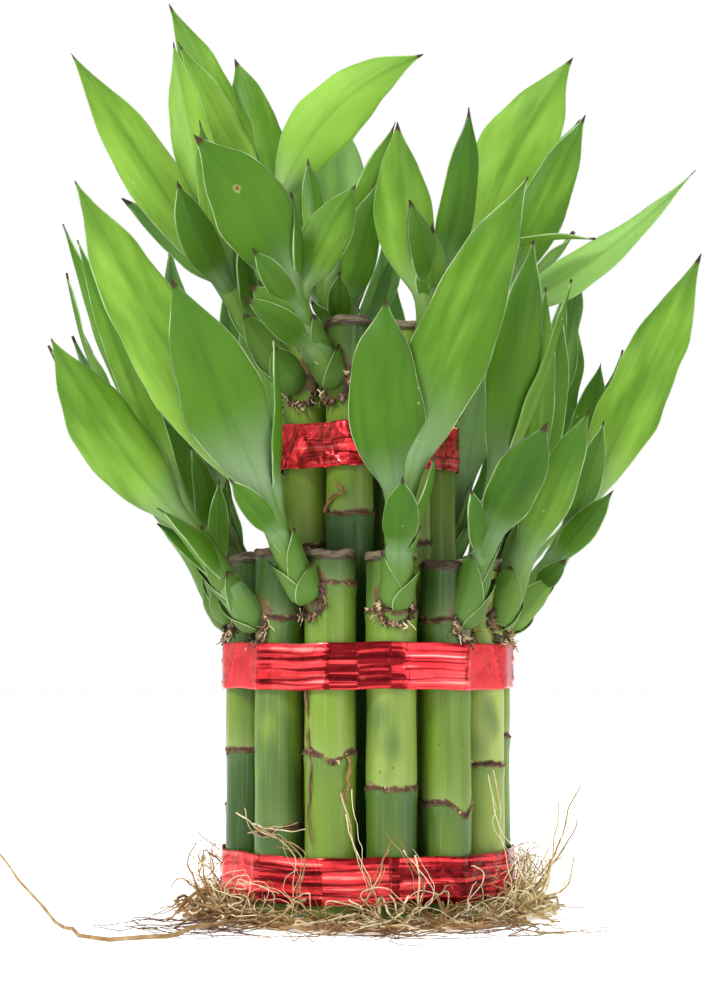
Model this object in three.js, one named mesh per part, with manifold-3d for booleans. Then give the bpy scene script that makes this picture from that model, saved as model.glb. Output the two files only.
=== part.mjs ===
// Lucky bamboo: a two-tier bundle of cut canes, each with one leafy shoot, tied by three foil ribbons
// and standing on its cut ends in a mat of its own roots.
// Millimetres, +Z up. The origin is on the floor, at the middle of the bundle. Angles round the bundle
// are in degrees, 0 toward the front (-Y) and 90 toward +X.
import * as THREE from "three";
import { mergeVertices } from "three/addons/utils/BufferGeometryUtils.js";
import Module from "manifold-3d";

const wasm = await Module();
wasm.setup();

// Driving dimensions
const OUTER_COUNT = 13;
const OUTER_RADIUS = 32.8; // from the bundle's middle to a cane's middle
const OUTER_FIRST = -72.5;
const OUTER_TOP = 95.5;
const INNER_COUNT = 7;
const INNER_RADIUS = 18;
const INNER_FIRST = -66.4;
const INNER_TOP = 158;
const CANE_WIDE = 12.8;
const CENTRE_WIDE = 15;
const CENTRE_OFFSET = 4.1; // the middle cane leans on two of the inner ring
const CENTRE_ANGLE = 216.3;
const CENTRE_TOP = 157;
const NODE_SWELL = 0.45; // how far a ring scar stands out
const NODE_HALF = 1.5; // how far its swell reaches above and below it
const RIM_SWELL = 0.35;
const RIM_HIGH = 2.6;
const CANE_SIDES = 9;

const GAP = 0.35; // between pieces that touch
const ROUNDING = 0.01; // more than 32-bit numbers can lose
const RIBBON_WIDE = 12;
const RIBBON_THICK = 0.6;
const RIBBON_START = 0.6; // share of the way round its ring where a ribbon starts and laps, at the back
const RIBBONS = [
  { name: "ribbon_bottom", low: 5.6, ring: "outer" },
  { name: "ribbon_middle", low: 60, ring: "outer" },
  { name: "ribbon_top", low: 118.6, ring: "inner" },
];

const BLADE_THICK = 0.8;
const BLADE_TIP = 0.9; // width of a blade's very end
const BELLY = 0.45; // where along its length a blade is widest
const NECK = 0.3; // width of the clasping base, as a share of the widest
const TAPER = 2.6; // how long the blade stays broad before it narrows to its tip
const NARROW = 9.6; // blades up to this width have no midrib fold
const BROAD_STATIONS = [0, 0.2, 0.44, 0.7, 0.88, 1];
const NARROW_STATIONS = [0, 0.35, 0.7, 1];

const STEM_RADII = [4.8, 5, 4.2, 3]; // from the foot to the head
const STEM_SIDES = 6;
const STEM_BEND = 0.12; // how far its middle leans out, as a share of its whole lean
const STEM_LAST_LEAF = 0.97; // share of the stem where the highest leaf springs
const FOOT_DOWN = 18; // from a cane's cut top down to its shoot's foot

// The shoots by rule. FIRST is the lowest leaf, NEXT what each later one adds, SPREAD how far the draws
// go: rise in degrees above level, length, width, and at what share of the stem it springs.
const FAN = [-40, 34, -18, 20, 0]; // where the leaves turn to, from their cane's angle
const FIRST = { rise: 40, long: 40, wide: 9, at: 0.5 };
const NEXT = { rise: 7, long: 11, wide: 2, at: 0.12 };
const SPREAD = { rise: 8, long: 12, wide: 2, turn: 10, bow: 3, stem: 6 };
const FIRST_DROOP = 7; // the lowest leaf hangs this much lower
const RULED_STEM = 28;
const BACK_SEED = 617;
const OUTER_LEAN = 13;
const INNER_LEAN = 10;
const INNER_REACH = 0.72; // how long the leaves of an inner shoot are, beside an outer one's

const ROOT_CORE_IN = 39.9;
const ROOT_CORE_WIDE = 2.2; // at its narrowest
const ROOT_CORE_HIGH = 4; // at its highest
const ROOT_CORE_STEPS = 26;
const ROOT_CORE_SHOULDER = 0.7; // height of its outer edge, as a share of the inner one's
const ROOT_SPRING = 1.5; // height in the core where a root leaves it
const FLOOR_ROOTS = 26;
const FLOOR_REACH = 9; // how far the shortest of them goes
const FLOOR_LIFT = 1.2;
const ROOT_THICK = 0.8; // radius where a root leaves the core
const ROOT_THIN = 0.55;
const ROOT_SIDES = 3;

const COLOURS = {
  cane: { color: 0x7aa84f, roughness: 0.45, metalness: 0 },
  leaf: { color: 0x58913a, roughness: 0.5, metalness: 0 },
  ribbon: { color: 0xc8202c, roughness: 0.2, metalness: 0.6 },
  root: { color: 0xb89a6a, roughness: 0.85, metalness: 0 },
};

// Small helpers

const radians = THREE.MathUtils.degToRad;

// A point at an angle and a distance from the bundle's middle.
function round(angle, distance, z) {
  const a = radians(angle);
  return new THREE.Vector3(distance * Math.sin(a), -distance * Math.cos(a), z);
}

// The same draws every time: each call gives the next number from 0 to 1.
function draws(seed) {
  let state = seed;
  return () => {
    state = (Math.imul(state, 1664525) + 1013904223) >>> 0;
    return state / 4294967296;
  };
}

// A closed solid from a three.js geometry, with its shared vertices merged and its faces outward.
function solidOf(geometry) {
  const bare = geometry.clone();
  bare.deleteAttribute("normal");
  bare.deleteAttribute("uv");
  const merged = mergeVertices(bare, 1e-4);
  const index = merged.index.array;
  const faces = [];
  for (let i = 0; i < index.length; i += 3) {
    const [a, b, c] = [index[i], index[i + 1], index[i + 2]];
    if (a !== b && b !== c && c !== a) faces.push(a, b, c);
  }
  const make = (triVerts) => {
    const vertProperties = new Float32Array(merged.attributes.position.array);
    return new wasm.Manifold(new wasm.Mesh({ numProp: 3, vertProperties, triVerts }));
  };
  const made = make(new Uint32Array(faces));
  return made.volume() < 0 ? make(new Uint32Array(faces.reverse())) : made;
}

function geometryOf(solid) {
  const mesh = solid.getMesh();
  const geometry = new THREE.BufferGeometry();
  geometry.setAttribute("position", new THREE.BufferAttribute(mesh.vertProperties, 3));
  geometry.setIndex(new THREE.BufferAttribute(mesh.triVerts, 1));
  geometry.computeVertexNormals();
  return geometry;
}

// A skin over rings of points, each ring with the same count, closed by a cap at both ends, or joined
// end to end where looped. twoFaced splits the second half of each ring as the mirror of the first, so
// that a thin blade's two faces never cross.
function loft(rings, { looped = false, twoFaced = false } = {}) {
  const count = rings[0].length;
  const index = [];
  const spans = looped ? rings.length : rings.length - 1;
  for (let i = 0; i < spans; i++) {
    const next = (i + 1) % rings.length;
    for (let j = 0; j < count; j++) {
      const k = (j + 1) % count;
      const [a, b, c, d] = [i * count + j, i * count + k, next * count + k, next * count + j];
      if (twoFaced && j >= count / 2) index.push(a, b, d, b, c, d);
      else index.push(a, b, c, a, c, d);
    }
  }
  if (!looped) {
    const last = (rings.length - 1) * count;
    for (let j = 1; j < count / 2; j++) {
      const far = count - j;
      index.push(j - 1, far % count, j, j, far % count, far - 1);
      index.push(last + j - 1, last + j, last + (far % count));
      index.push(last + j, last + far - 1, last + (far % count));
    }
  }
  const geometry = new THREE.BufferGeometry();
  geometry.setFromPoints(rings.flat());
  geometry.setIndex(index);
  return geometry;
}

// A round bar along a curve. radii are spread evenly from its start to its end, one ring for each.
function bar(curve, radii, sides) {
  const steps = radii.length - 1;
  const frames = curve.computeFrenetFrames(steps, false);
  const rings = radii.map((radius, i) => {
    const middle = curve.getPointAt(i / steps);
    return Array.from({ length: sides }, (_, j) => {
      const a = (2 * Math.PI * j) / sides;
      const point = middle.clone().addScaledVector(frames.normals[i], radius * Math.cos(a));
      return point.addScaledVector(frames.binormals[i], radius * Math.sin(a));
    });
  });
  return capped(rings);
}

// A skin over round rings, each end closed by a fan round its own middle.
function capped(rings) {
  const count = rings[0].length;
  const middle = (ring) => ring.reduce((sum, p) => sum.add(p), new THREE.Vector3()).divideScalar(count);
  const points = [...rings.flat(), middle(rings[0]), middle(rings.at(-1))];
  const [first, last] = [points.length - 2, points.length - 1];
  const top = (rings.length - 1) * count;
  const index = [];
  for (let j = 0; j < count; j++) {
    const k = (j + 1) % count;
    for (let i = 0; i < rings.length - 1; i++) {
      const [a, b, c, d] = [i * count + j, i * count + k, (i + 1) * count + k, (i + 1) * count + j];
      index.push(a, b, c, a, c, d);
    }
    index.push(first, k, j, last, top + j, top + k);
  }
  const geometry = new THREE.BufferGeometry();
  geometry.setFromPoints(points);
  geometry.setIndex(index);
  return geometry;
}

// The largest body of a solid: cutting can leave scraps.
function largest(solid) {
  return solid.decompose().reduce((best, body) => (body.volume() > best.volume() ? body : best));
}

// Canes

// Heights of the ring scars, width, cut height and the cut's slope of the canes that stand in front.
// The others follow a rule.
const OUTER_SEEN = [
  { scars: [44], wide: 12.6, top: 95.9, slope: [0.05, 0] },
  { scars: [23.8, 78.8], wide: 12.8, top: 96.5, slope: [0.02, 0] },
  { scars: [44, 87.3], wide: 13.4, top: 96, slope: [-0.03, 0] },
  { scars: [35, 80.4], wide: 13.2, top: 95.6, slope: [0.04, 0] },
  { scars: [31, 78], wide: 13.4, top: 93.2, slope: [-0.03, 0.02] },
  { scars: [40.2], wide: 12.8, top: 94, slope: [0, 0.03] },
  { scars: [47.3], wide: 12.6, top: 95, slope: [0.02, 0.02] },
];
const INNER_SEEN = [
  { scars: [50, 98, 143.8], wide: 12.6, top: 157.6, slope: [0.03, 0] },
  { scars: [106.4, 144.9], wide: 13, top: 158.6, slope: [-0.02, 0] },
  { scars: [98.5, 143], wide: 12.6, top: 157.8, slope: [0.04, 0.01] },
];

function canesOf(count, radius, first, top, seen, seed) {
  const draw = draws(seed);
  const canes = [];
  for (let i = 0; i < count; i++) {
    const angle = first + (360 / count) * i;
    const ruled = {
      scars: [24 + 24 * draw(), top - 17 - 5 * draw()],
      wide: CANE_WIDE + 0.5 * (draw() - 0.5),
      top: top + 3 * (draw() - 0.5),
      slope: [0.06 * (draw() - 0.5), 0.06 * (draw() - 0.5)],
    };
    canes.push({ angle, foot: round(angle, radius, 0), ...ruled, ...seen[i] });
  }
  return canes;
}

const outerCanes = canesOf(OUTER_COUNT, OUTER_RADIUS, OUTER_FIRST, OUTER_TOP, OUTER_SEEN, 11);
const innerCanes = canesOf(INNER_COUNT, INNER_RADIUS, INNER_FIRST, INNER_TOP, INNER_SEEN, 23);
const centreCane = {
  angle: CENTRE_ANGLE,
  foot: round(CENTRE_ANGLE, CENTRE_OFFSET, 0),
  scars: [60, 120],
  wide: CENTRE_WIDE,
  top: CENTRE_TOP,
  slope: [0, 0],
};
const allCanes = [...outerCanes, ...innerCanes, centreCane];

// A cane turned on its own axis: cut foot, ring scars, and a dried rim round the cut top.
function caneGeometry(cane, grow = 0) {
  const r = cane.wide / 2 + grow;
  const profile = [new THREE.Vector2(0, -grow), new THREE.Vector2(r, -grow)];
  for (const z of cane.scars) {
    profile.push(new THREE.Vector2(r, z - NODE_HALF), new THREE.Vector2(r + NODE_SWELL, z));
    profile.push(new THREE.Vector2(r, z + NODE_HALF));
  }
  const top = cane.top + grow;
  profile.push(new THREE.Vector2(r, top - RIM_HIGH), new THREE.Vector2(r + RIM_SWELL, top - RIM_HIGH / 2));
  profile.push(new THREE.Vector2(r - RIM_SWELL, top), new THREE.Vector2(0, top));
  const geometry = new THREE.LatheGeometry(profile, CANE_SIDES);
  geometry.rotateX(Math.PI / 2);
  const place = geometry.getAttribute("position");
  for (let i = 0; i < place.count; i++) {
    if (place.getZ(i) < top - RIM_HIGH - ROUNDING) continue;
    const rise = place.getX(i) * cane.slope[0] + place.getY(i) * cane.slope[1];
    place.setZ(i, place.getZ(i) + rise);
  }
  geometry.translate(cane.foot.x, cane.foot.y, 0);
  return geometry;
}

// Ribbons

// The line of a ribbon's inner face: three points round each cane of its ring, from the back and on over
// its own start, where it laps.
function ribbonLine(canes) {
  const half = 180 / canes.length;
  const first = Math.round(canes.length * RIBBON_START);
  const line = [];
  for (let i = 0; i <= canes.length; i++) {
    const cane = canes[(first + i) % canes.length];
    for (const turn of [-half, 0, half]) {
      if ((i === 0 && turn < 0) || (i === canes.length && turn > 0)) continue;
      const laps = i === canes.length || (i === canes.length - 1 && turn > 0);
      const out = cane.wide / 2 + GAP + (laps ? RIBBON_THICK + GAP : 0);
      line.push(round(cane.angle + turn, out, 0).add(cane.foot));
    }
  }
  return line;
}

function ribbonGeometry({ low, ring }) {
  const line = ribbonLine(ring === "outer" ? outerCanes : innerCanes);
  const high = low + RIBBON_WIDE;
  const rings = line.map((point, i) => {
    const along = line[Math.min(i + 1, line.length - 1)].clone().sub(line[Math.max(i - 1, 0)]).normalize();
    const outer = point.clone().addScaledVector(new THREE.Vector3(along.y, -along.x, 0), RIBBON_THICK);
    return [
      new THREE.Vector3(point.x, point.y, low),
      new THREE.Vector3(outer.x, outer.y, low),
      new THREE.Vector3(outer.x, outer.y, high),
      new THREE.Vector3(point.x, point.y, high),
    ];
  });
  return loft(rings);
}

// Shoots

// How wide a blade is along its length, as a share of its widest: a clasping base, a belly, a long tip.
function bladeShape(t) {
  if (t < BELLY) {
    const u = t / BELLY;
    return NECK + (1 - NECK) * u * u * (3 - 2 * u);
  }
  return 1 - ((t - BELLY) / (1 - BELLY)) ** TAPER;
}

// One blade. base and tip are its ends, face is the angle that its back looks toward, sway curves it in
// its own plane, bow toward its back, fold lifts its margins from the midrib, and wave ripples them.
function bladeGeometry({ base, tip, wide, face, sway, bow, fold, wave }) {
  const chord = tip.clone().sub(base);
  const ahead = chord.clone().normalize();
  const side = ahead.clone().cross(round(face, 1, 0)).normalize();
  const back = side.clone().cross(ahead);
  const broad = wide > NARROW;
  const rings = (broad ? BROAD_STATIONS : NARROW_STATIONS).map((t) => {
    const swell = 4 * t * (1 - t);
    const slope = 4 - 8 * t;
    const middle = base.clone().addScaledVector(chord, t);
    middle.addScaledVector(back, bow * swell).addScaledVector(side, sway * swell);
    const tangent = chord.clone().addScaledVector(back, bow * slope);
    tangent.addScaledVector(side, sway * slope).normalize();
    const across = side.clone().addScaledVector(tangent, -side.dot(tangent)).normalize();
    const out = across.clone().cross(tangent);
    const half = Math.max(wide * bladeShape(t), BLADE_TIP) / 2;
    const angle = radians(fold) * Math.sqrt(Math.max(Math.sin(Math.PI * t), 0));
    const ripple = wave * Math.sin(3 * Math.PI * t) * swell;
    const at = (share, lift) => {
      const rise = lift - Math.abs(share) * half * Math.sin(angle) + share * ripple;
      const point = middle.clone().addScaledVector(across, share * half * Math.cos(angle));
      return point.addScaledVector(out, rise);
    };
    const thick = BLADE_THICK / 2;
    return broad
      ? [at(-1, thick), at(0, thick), at(1, thick), at(1, -thick), at(0, -thick), at(-1, -thick)]
      : [at(-1, thick), at(1, thick), at(1, -thick), at(-1, -thick)];
  });
  return loft(rings, { twoFaced: true });
}

// A leaf springs at a share of its stem's length. Its tip is where the blade ends.
function leaf(at, tip, wide, face, more = {}) {
  return { at, tip: new THREE.Vector3(...tip), wide, face, sway: 0, bow: 2, fold: 12, wave: 0, ...more };
}

// The shoots that show from the front, in the order of their canes, left to right. foot is where the
// stem starts inside its cane's side, up is how far it goes.
const OUTER_SHOOTS = [
  {
    foot: [-35.5, -11, 78],
    up: [-9, 4, 25],
    leaves: [
      leaf(0.45, [-39, -24, 115], 6, 0),
      leaf(0.6, [-38.5, -3, 116], 6, 0),
      leaf(0.8, [-47, -20, 124], 8, 40, { bow: 4 }),
      leaf(0.95, [-58, -8, 139], 14, 10),
      leaf(0.9, [-70, 6, 148], 14, -75),
    ],
  },
  {
    foot: [-28, -25, 76],
    up: [-18, -3, 26],
    leaves: [
      leaf(0.3, [-54, -40, 106], 7, 60, { sway: 2 }),
      leaf(0.35, [-55, -27, 103], 7, 60),
      leaf(0.92, [-81.5, -40, 150], 18, 5, { sway: -2.5, fold: 24, bow: 4 }),
      leaf(1, [-82, -14, 185], 12, -50),
      leaf(0.95, [-77, -22, 179], 9, -20),
    ],
  },
  {
    foot: [-13.5, -34, 79],
    up: [-11, -6, 26],
    leaves: [
      leaf(0.9, [-75, -46, 190], 20, 8, { sway: -1.5, fold: 8 }),
      leaf(0.97, [-49, -60, 162], 21, 0, { wave: 1, fold: 6 }),
      leaf(1, [-24, -50, 148.5], 8, 75),
      leaf(0.7, [-35, -50, 113], 7, 0),
    ],
  },
  {
    foot: [6.5, -36.5, 76],
    up: [2, -7, 33],
    leaves: [
      leaf(0.85, [4.4, -54, 158], 19.5, 0, { sway: -2, bow: 3 }),
      leaf(0.92, [40, -58, 188], 20, 0, { sway: -2.5, fold: 8 }),
      leaf(0.45, [8.5, -55, 113], 9.5, 0, { fold: 20 }),
      leaf(0.5, [17, -48, 119], 7, 70),
    ],
  },
  {
    foot: [24.5, -28.5, 76],
    up: [8, -5, 34],
    leaves: [
      leaf(0.95, [42.5, -42, 175], 13.5, 15),
      leaf(0.6, [45, -52, 127], 13.5, 5),
      leaf(0.5, [26, -45, 111], 6, 20),
      leaf(1, [53, -36, 166], 9, 70),
    ],
  },
  {
    foot: [34.5, -15.5, 76],
    up: [8.5, -2, 32],
    leaves: [
      leaf(0.45, [57, -38, 132], 12, 10),
      leaf(0.8, [54, -24, 114], 9, 10),
      leaf(0.97, [52, -20, 158], 11, 20),
      leaf(0.95, [54, -5, 170], 10, 40),
      leaf(0.9, [47, -28, 165.5], 9, 10),
    ],
  },
  {
    foot: [37.5, 2.5, 76],
    up: [19, 1, 28],
    leaves: [
      leaf(0.93, [91, -8, 178], 17, 0, { sway: 0.5 }),
      leaf(1, [66, 14, 151], 13, 10),
      leaf(0.85, [63, -19, 131], 9, 15),
      leaf(0.6, [66, -13, 113], 8, 0),
      leaf(0.4, [54, -7, 95], 6, 0),
      leaf(0.8, [79, 21, 141], 14, 105),
    ],
  },
];

const INNER_SHOOTS = [
  {
    foot: [-18, -12, 140],
    up: [-19, -2, 27],
    leaves: [
      leaf(0.9, [-79, -24, 229], 15, 5, { fold: 18 }),
      leaf(0.95, [-50, -31, 193], 10.5, 5, { sway: -1.5 }),
      leaf(1, [-45, -20, 212], 9, 10),
      leaf(0.97, [-54, 2, 240], 12, 5, { sway: -1 }),
      leaf(0.85, [-36, -13, 182], 7, -20),
      leaf(0.6, [-34.5, -26, 178], 7, 30),
    ],
  },
  {
    foot: [-8, -21, 140],
    up: [-11, -6, 22],
    leaves: [
      leaf(0.95, [-45, -40, 203], 20, 0, { sway: 3 }),
      leaf(1, [-20, -31, 190], 7, 70),
      leaf(0.97, [-3, -18, 195], 13, 0, { sway: -1 }),
      leaf(0.8, [-30, -38, 174], 7, 0),
      leaf(0.6, [-31, -34, 165], 9, 0),
      leaf(0.4, [-32, -40, 161], 8, 10),
    ],
  },
  {
    foot: [12.5, -18.5, 139],
    up: [5, -4, 24],
    leaves: [
      leaf(0.85, [8, -30, 209], 15.5, 0, { sway: -2.5, fold: 28 }),
      leaf(0.95, [27, -26, 214], 13, 20, { sway: 2.5, fold: 30 }),
      leaf(0.7, [17, -30, 182], 8, 10),
      leaf(0.6, [23.5, -29, 171], 6, 50),
      leaf(0.97, [11, -36, 187], 8, 20),
      leaf(1, [61, -20, 180], 9, 90, { bow: -6 }),
    ],
  },
  {
    foot: [22.5, -1, 139],
    up: [13, -1, 26],
    leaves: [
      leaf(0.92, [60, -6, 217], 13.5, 5),
      leaf(0.85, [87, -26, 197], 13, 0, { sway: 3.5 }),
      leaf(0.95, [60, 22, 190], 14, 110),
    ],
  },
  {
    foot: [14.5, 17, 140],
    up: [14, 1, 30],
    leaves: [
      leaf(0.92, [58.5, 10, 238], 23, 0, { sway: -4, fold: 8 }),
      leaf(1, [38, 22, 207], 9, 20),
      leaf(0.85, [62, 26, 224], 12, 20),
    ],
  },
  null,
  {
    foot: [-19.5, 11, 140],
    up: [-7, 3, 53],
    leaves: [
      leaf(0.94, [-53.5, 13, 243], 11, 10),
      leaf(1, [-57, 24, 257], 13, 0),
      leaf(0.86, [-38, 22, 241], 15, 0, { sway: 1.5 }),
      leaf(0.97, [16, 4, 237], 18, 0, { sway: -8 }),
      leaf(0.5, [-69, 10, 197], 12, 215),
    ],
  },
];

const CENTRE_SHOOT = {
  foot: [-5, 0, 152],
  up: [-7, -3, 19],
  leaves: [
    leaf(1, [-16.5, 8, 208], 7, 0),
    leaf(0.9, [8, -6, 215], 9, 30),
    leaf(0.35, [3, -8, 198], 11, 0),
    leaf(0.3, [-7.5, -14, 172], 7, 0),
  ],
};

// A shoot by rule, for the canes at the back. Its leaves fan out to both sides and the later ones are
// longer, broader and more upright. reach scales their length.
function ruledShoot(cane, lean, reach, seed) {
  const draw = draws(seed);
  const foot = round(cane.angle, cane.wide / 2 - 2, cane.top - FOOT_DOWN).add(cane.foot);
  const up = round(cane.angle, lean, RULED_STEM + SPREAD.stem * draw());
  const head = foot.clone().add(up);
  const leaves = FAN.map((turn, k) => {
    const heads = cane.angle + turn + SPREAD.turn * (draw() - 0.5);
    const droop = k === 0 ? FIRST_DROOP : 0;
    const rise = radians(FIRST.rise + NEXT.rise * k - droop + SPREAD.rise * draw());
    const long = (FIRST.long + NEXT.long * k + SPREAD.long * draw()) * reach;
    const tip = round(heads, long * Math.cos(rise), long * Math.sin(rise)).add(head);
    const wide = FIRST.wide + NEXT.wide * k + SPREAD.wide * draw();
    const bow = SPREAD.bow * (1 + draw());
    return leaf(FIRST.at + NEXT.at * k, tip.toArray(), wide, heads, { bow });
  });
  return { foot: foot.toArray(), up: up.toArray(), leaves };
}

function stemCurve({ foot, up }) {
  const start = new THREE.Vector3(...foot);
  const end = start.clone().add(new THREE.Vector3(...up));
  const middle = start.clone().lerp(end, 0.5);
  middle.add(new THREE.Vector3(up[0], up[1], 0).multiplyScalar(STEM_BEND));
  return new THREE.QuadraticBezierCurve3(start, middle, end);
}

// A shoot's stem and leaves, joined, and seated a little off its cane and every other.
function shootGeometry(shoot) {
  const curve = stemCurve(shoot);
  let solid = solidOf(bar(curve, STEM_RADII, STEM_SIDES));
  for (const each of shoot.leaves) {
    const base = curve.getPoint(Math.min(each.at, STEM_LAST_LEAF));
    solid = solid.add(solidOf(bladeGeometry({ ...each, base })));
  }
  for (const cane of allCanes) {
    const grown = solidOf(caneGeometry(cane, GAP));
    if (boxesMeet(solid, grown)) solid = solid.subtract(grown);
  }
  return geometryOf(largest(solid));
}

function boxesMeet(a, b) {
  const [p, q] = [a.boundingBox(), b.boundingBox()];
  return [0, 1, 2].every((i) => p.min[i] <= q.max[i] && q.min[i] <= p.max[i]);
}

const outerShoots = outerCanes.map(
  (cane, i) => OUTER_SHOOTS[i] ?? ruledShoot(cane, OUTER_LEAN, 1, BACK_SEED * (i + 1)),
);
const innerShoots = innerCanes.map(
  (cane, i) => INNER_SHOOTS[i] ?? ruledShoot(cane, INNER_LEAN, INNER_REACH, BACK_SEED * (i + 1)),
);

// Roots

// The roots' woven core: a low uneven ring close round the feet of the canes, under the ribbon.
function rootCore() {
  const draw = draws(5);
  const rings = [];
  for (let i = 0; i < ROOT_CORE_STEPS; i++) {
    const angle = (i * 360) / ROOT_CORE_STEPS;
    const out = ROOT_CORE_IN + ROOT_CORE_WIDE + 2.6 * draw();
    const high = ROOT_CORE_HIGH - 1.8 * draw();
    rings.push([
      round(angle, ROOT_CORE_IN, 0),
      round(angle, out, 0),
      round(angle, out - 0.8, high * ROOT_CORE_SHOULDER),
      round(angle, ROOT_CORE_IN, high),
    ]);
  }
  return solidOf(loft(rings, { looped: true }));
}

// Roots that show by themselves, from the core outward: the long stray one at the left, then those that
// stand up at the right, at the left, and over the front of the ribbon.
const STRAY_ROOT = [
  [-30, -28, 1.5],
  [-42, -48, 1],
  [-50, -66, 0.8],
  [-62, -70, 0.8],
  [-72, -56, 1.2],
  [-80, -40, 4],
  [-90, -28, 11],
  [-97, -22, 18],
];
const STANDING_ROOTS = [
  [[40, -9, 1.5], [46, -10, 6], [50, -12, 18], [56, -14, 35]],
  [[38.4, -14.4, 1.5], [46, -18, 8], [49, -20, 20], [50, -22, 31]],
  [[40.8, 4, 1.5], [48, 2, 10], [55, 2, 20], [57, 0, 25]],
  [[35.8, -20, 1.5], [44, -26, 7], [50, -30, 9], [53, -32, 17]],
  [[-37.7, -16, 1.5], [-44, -18, 6], [-47, -20, 14], [-45, -22, 20]],
  [[-39.7, -10, 1.5], [-46, -10, 8], [-50, -12, 10], [-52, -14, 7]],
  [[8.5, -40.2, 1.5], [14, -46, 10], [10, -47, 19], [6, -45, 24]],
  [[-12.3, -39.2, 1.5], [-18, -45, 8], [-16, -47, 17], [-21, -45, 23]],
];

// One of the roots that lie out on the floor all round. They spring from the core, arch up and come down
// to their ends. Those at the front reach further.
function floorRoot(i, draw) {
  const angle = (360 / FLOOR_ROOTS) * i + 8 * (draw() - 0.5);
  const front = Math.cos(radians(angle)) > 0.3 ? 14 * draw() : 0;
  const reach = FLOOR_REACH + 22 * draw() + front;
  const turn = 40 * (draw() - 0.5);
  const lift = FLOOR_LIFT + 4 * draw();
  const start = ROOT_CORE_IN + 1.2;
  return [
    round(angle, start, ROOT_SPRING),
    round(angle + turn * 0.25, start + reach * 0.3, ROOT_SPRING + lift),
    round(angle + turn * 0.6, start + reach * 0.65, ROOT_SPRING + lift * 0.4),
    round(angle + turn, start + reach, ROOT_THICK),
  ];
}

function rootGeometry() {
  const draw = draws(77);
  const vectors = (row) => row.map((p) => new THREE.Vector3(...p));
  const lone = [STRAY_ROOT, ...STANDING_ROOTS].map(vectors);
  const lying = Array.from({ length: FLOOR_ROOTS }, (_, i) => floorRoot(i, draw));
  let solid = rootCore();
  for (const points of [...lone, ...lying]) {
    const radii = points.map((_, i) => ROOT_THICK - ((ROOT_THICK - ROOT_THIN) * i) / (points.length - 1));
    solid = solid.add(solidOf(bar(new THREE.CatmullRomCurve3(points), radii, ROOT_SIDES)));
  }
  return geometryOf(solid);
}

// The whole plant

const plant = new THREE.Group();

function addMesh(name, geometry, finish) {
  const mesh = new THREE.Mesh(geometry, new THREE.MeshStandardMaterial(COLOURS[finish]));
  mesh.name = name;
  plant.add(mesh);
}

function addRow(name, row, shape, finish) {
  row.forEach((each, i) => addMesh(`${name}_${String(i + 1).padStart(2, "0")}`, shape(each), finish));
}

addRow("cane_outer", outerCanes, (cane) => geometryOf(solidOf(caneGeometry(cane))), "cane");
addRow("cane_inner", innerCanes, (cane) => geometryOf(solidOf(caneGeometry(cane))), "cane");
addMesh("cane_centre", geometryOf(solidOf(caneGeometry(centreCane))), "cane");
addRow("shoot_outer", outerShoots, shootGeometry, "leaf");
addRow("shoot_inner", innerShoots, shootGeometry, "leaf");
addMesh("shoot_centre", shootGeometry(CENTRE_SHOOT), "leaf");
for (const ribbon of RIBBONS) addMesh(ribbon.name, geometryOf(solidOf(ribbonGeometry(ribbon))), "ribbon");
addMesh("root_mat", rootGeometry(), "root");

export default plant;
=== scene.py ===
# %% [markdown]
# # Lucky bamboo: a tied bundle of canes in two tiers
#
# The real plant is a bundle of cut canes. Thirteen short ones stand in an outer ring, seven taller ones in an
# inner ring, and one stands in the middle. Each cane has one leafy shoot, three red foil ribbons hold the
# bundle together, and its own roots make a tangle round its foot.
#
# This lesson dresses the plain solids of that bundle. Each of them is replaced by a finer piece in the same
# place. Sizes are in millimetres until a mesh is made, because they are easier to read that way. The lamps,
# the camera and the patterns that read a piece's own place work in Blender's unit, the metre.

# %% Load the plain solids
import math

import bpy
import numpy as np
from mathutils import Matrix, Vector


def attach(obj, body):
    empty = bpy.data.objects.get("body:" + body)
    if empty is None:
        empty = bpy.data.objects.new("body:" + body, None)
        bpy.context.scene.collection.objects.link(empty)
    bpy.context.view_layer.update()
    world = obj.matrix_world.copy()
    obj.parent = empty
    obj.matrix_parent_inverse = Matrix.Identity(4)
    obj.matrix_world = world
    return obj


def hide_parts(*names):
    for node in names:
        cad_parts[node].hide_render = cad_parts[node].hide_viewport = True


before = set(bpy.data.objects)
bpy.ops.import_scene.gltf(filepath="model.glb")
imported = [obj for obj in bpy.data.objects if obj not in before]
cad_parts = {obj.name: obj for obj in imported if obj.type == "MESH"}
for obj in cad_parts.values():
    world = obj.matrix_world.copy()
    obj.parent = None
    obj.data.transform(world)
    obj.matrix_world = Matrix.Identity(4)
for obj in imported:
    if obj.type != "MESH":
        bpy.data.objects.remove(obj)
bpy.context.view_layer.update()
print("solids:", len(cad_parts))

# %% [markdown]
# ## The bundle's own sizes
#
# A few driving dimensions settle where everything stands: how many canes each ring has, how far out they are
# and how high they are cut. Angles go round the bundle in degrees, 0 toward the front and 90 to the right.
# What can't be seen from the front follows a rule with seeded draws, so that every run gives the same plant.

# %% Driving dimensions
MM = 0.001  # one millimetre in Blender's metres
OUTER_COUNT, OUTER_RADIUS, OUTER_FIRST, OUTER_TOP = 13, 32.8, -72.5, 95.5
INNER_COUNT, INNER_RADIUS, INNER_FIRST, INNER_TOP = 7, 18, -66.4, 158
CANE_WIDE = 12.8
RIBBON_WIDE = 12
print("mm across the bundle:", round(2 * OUTER_RADIUS + CANE_WIDE, 1))


# %% Draws, angles and smooth steps
def draws(seed):
    """The same numbers from 0 to 1 on every run."""
    state = seed
    while True:
        state = (state * 1664525 + 1013904223) % 2**32
        yield state / 2**32


def either_way(draw, spread):
    """A draw on both sides of 0, half the spread each way."""
    return spread * (next(draw) - 0.5)


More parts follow.
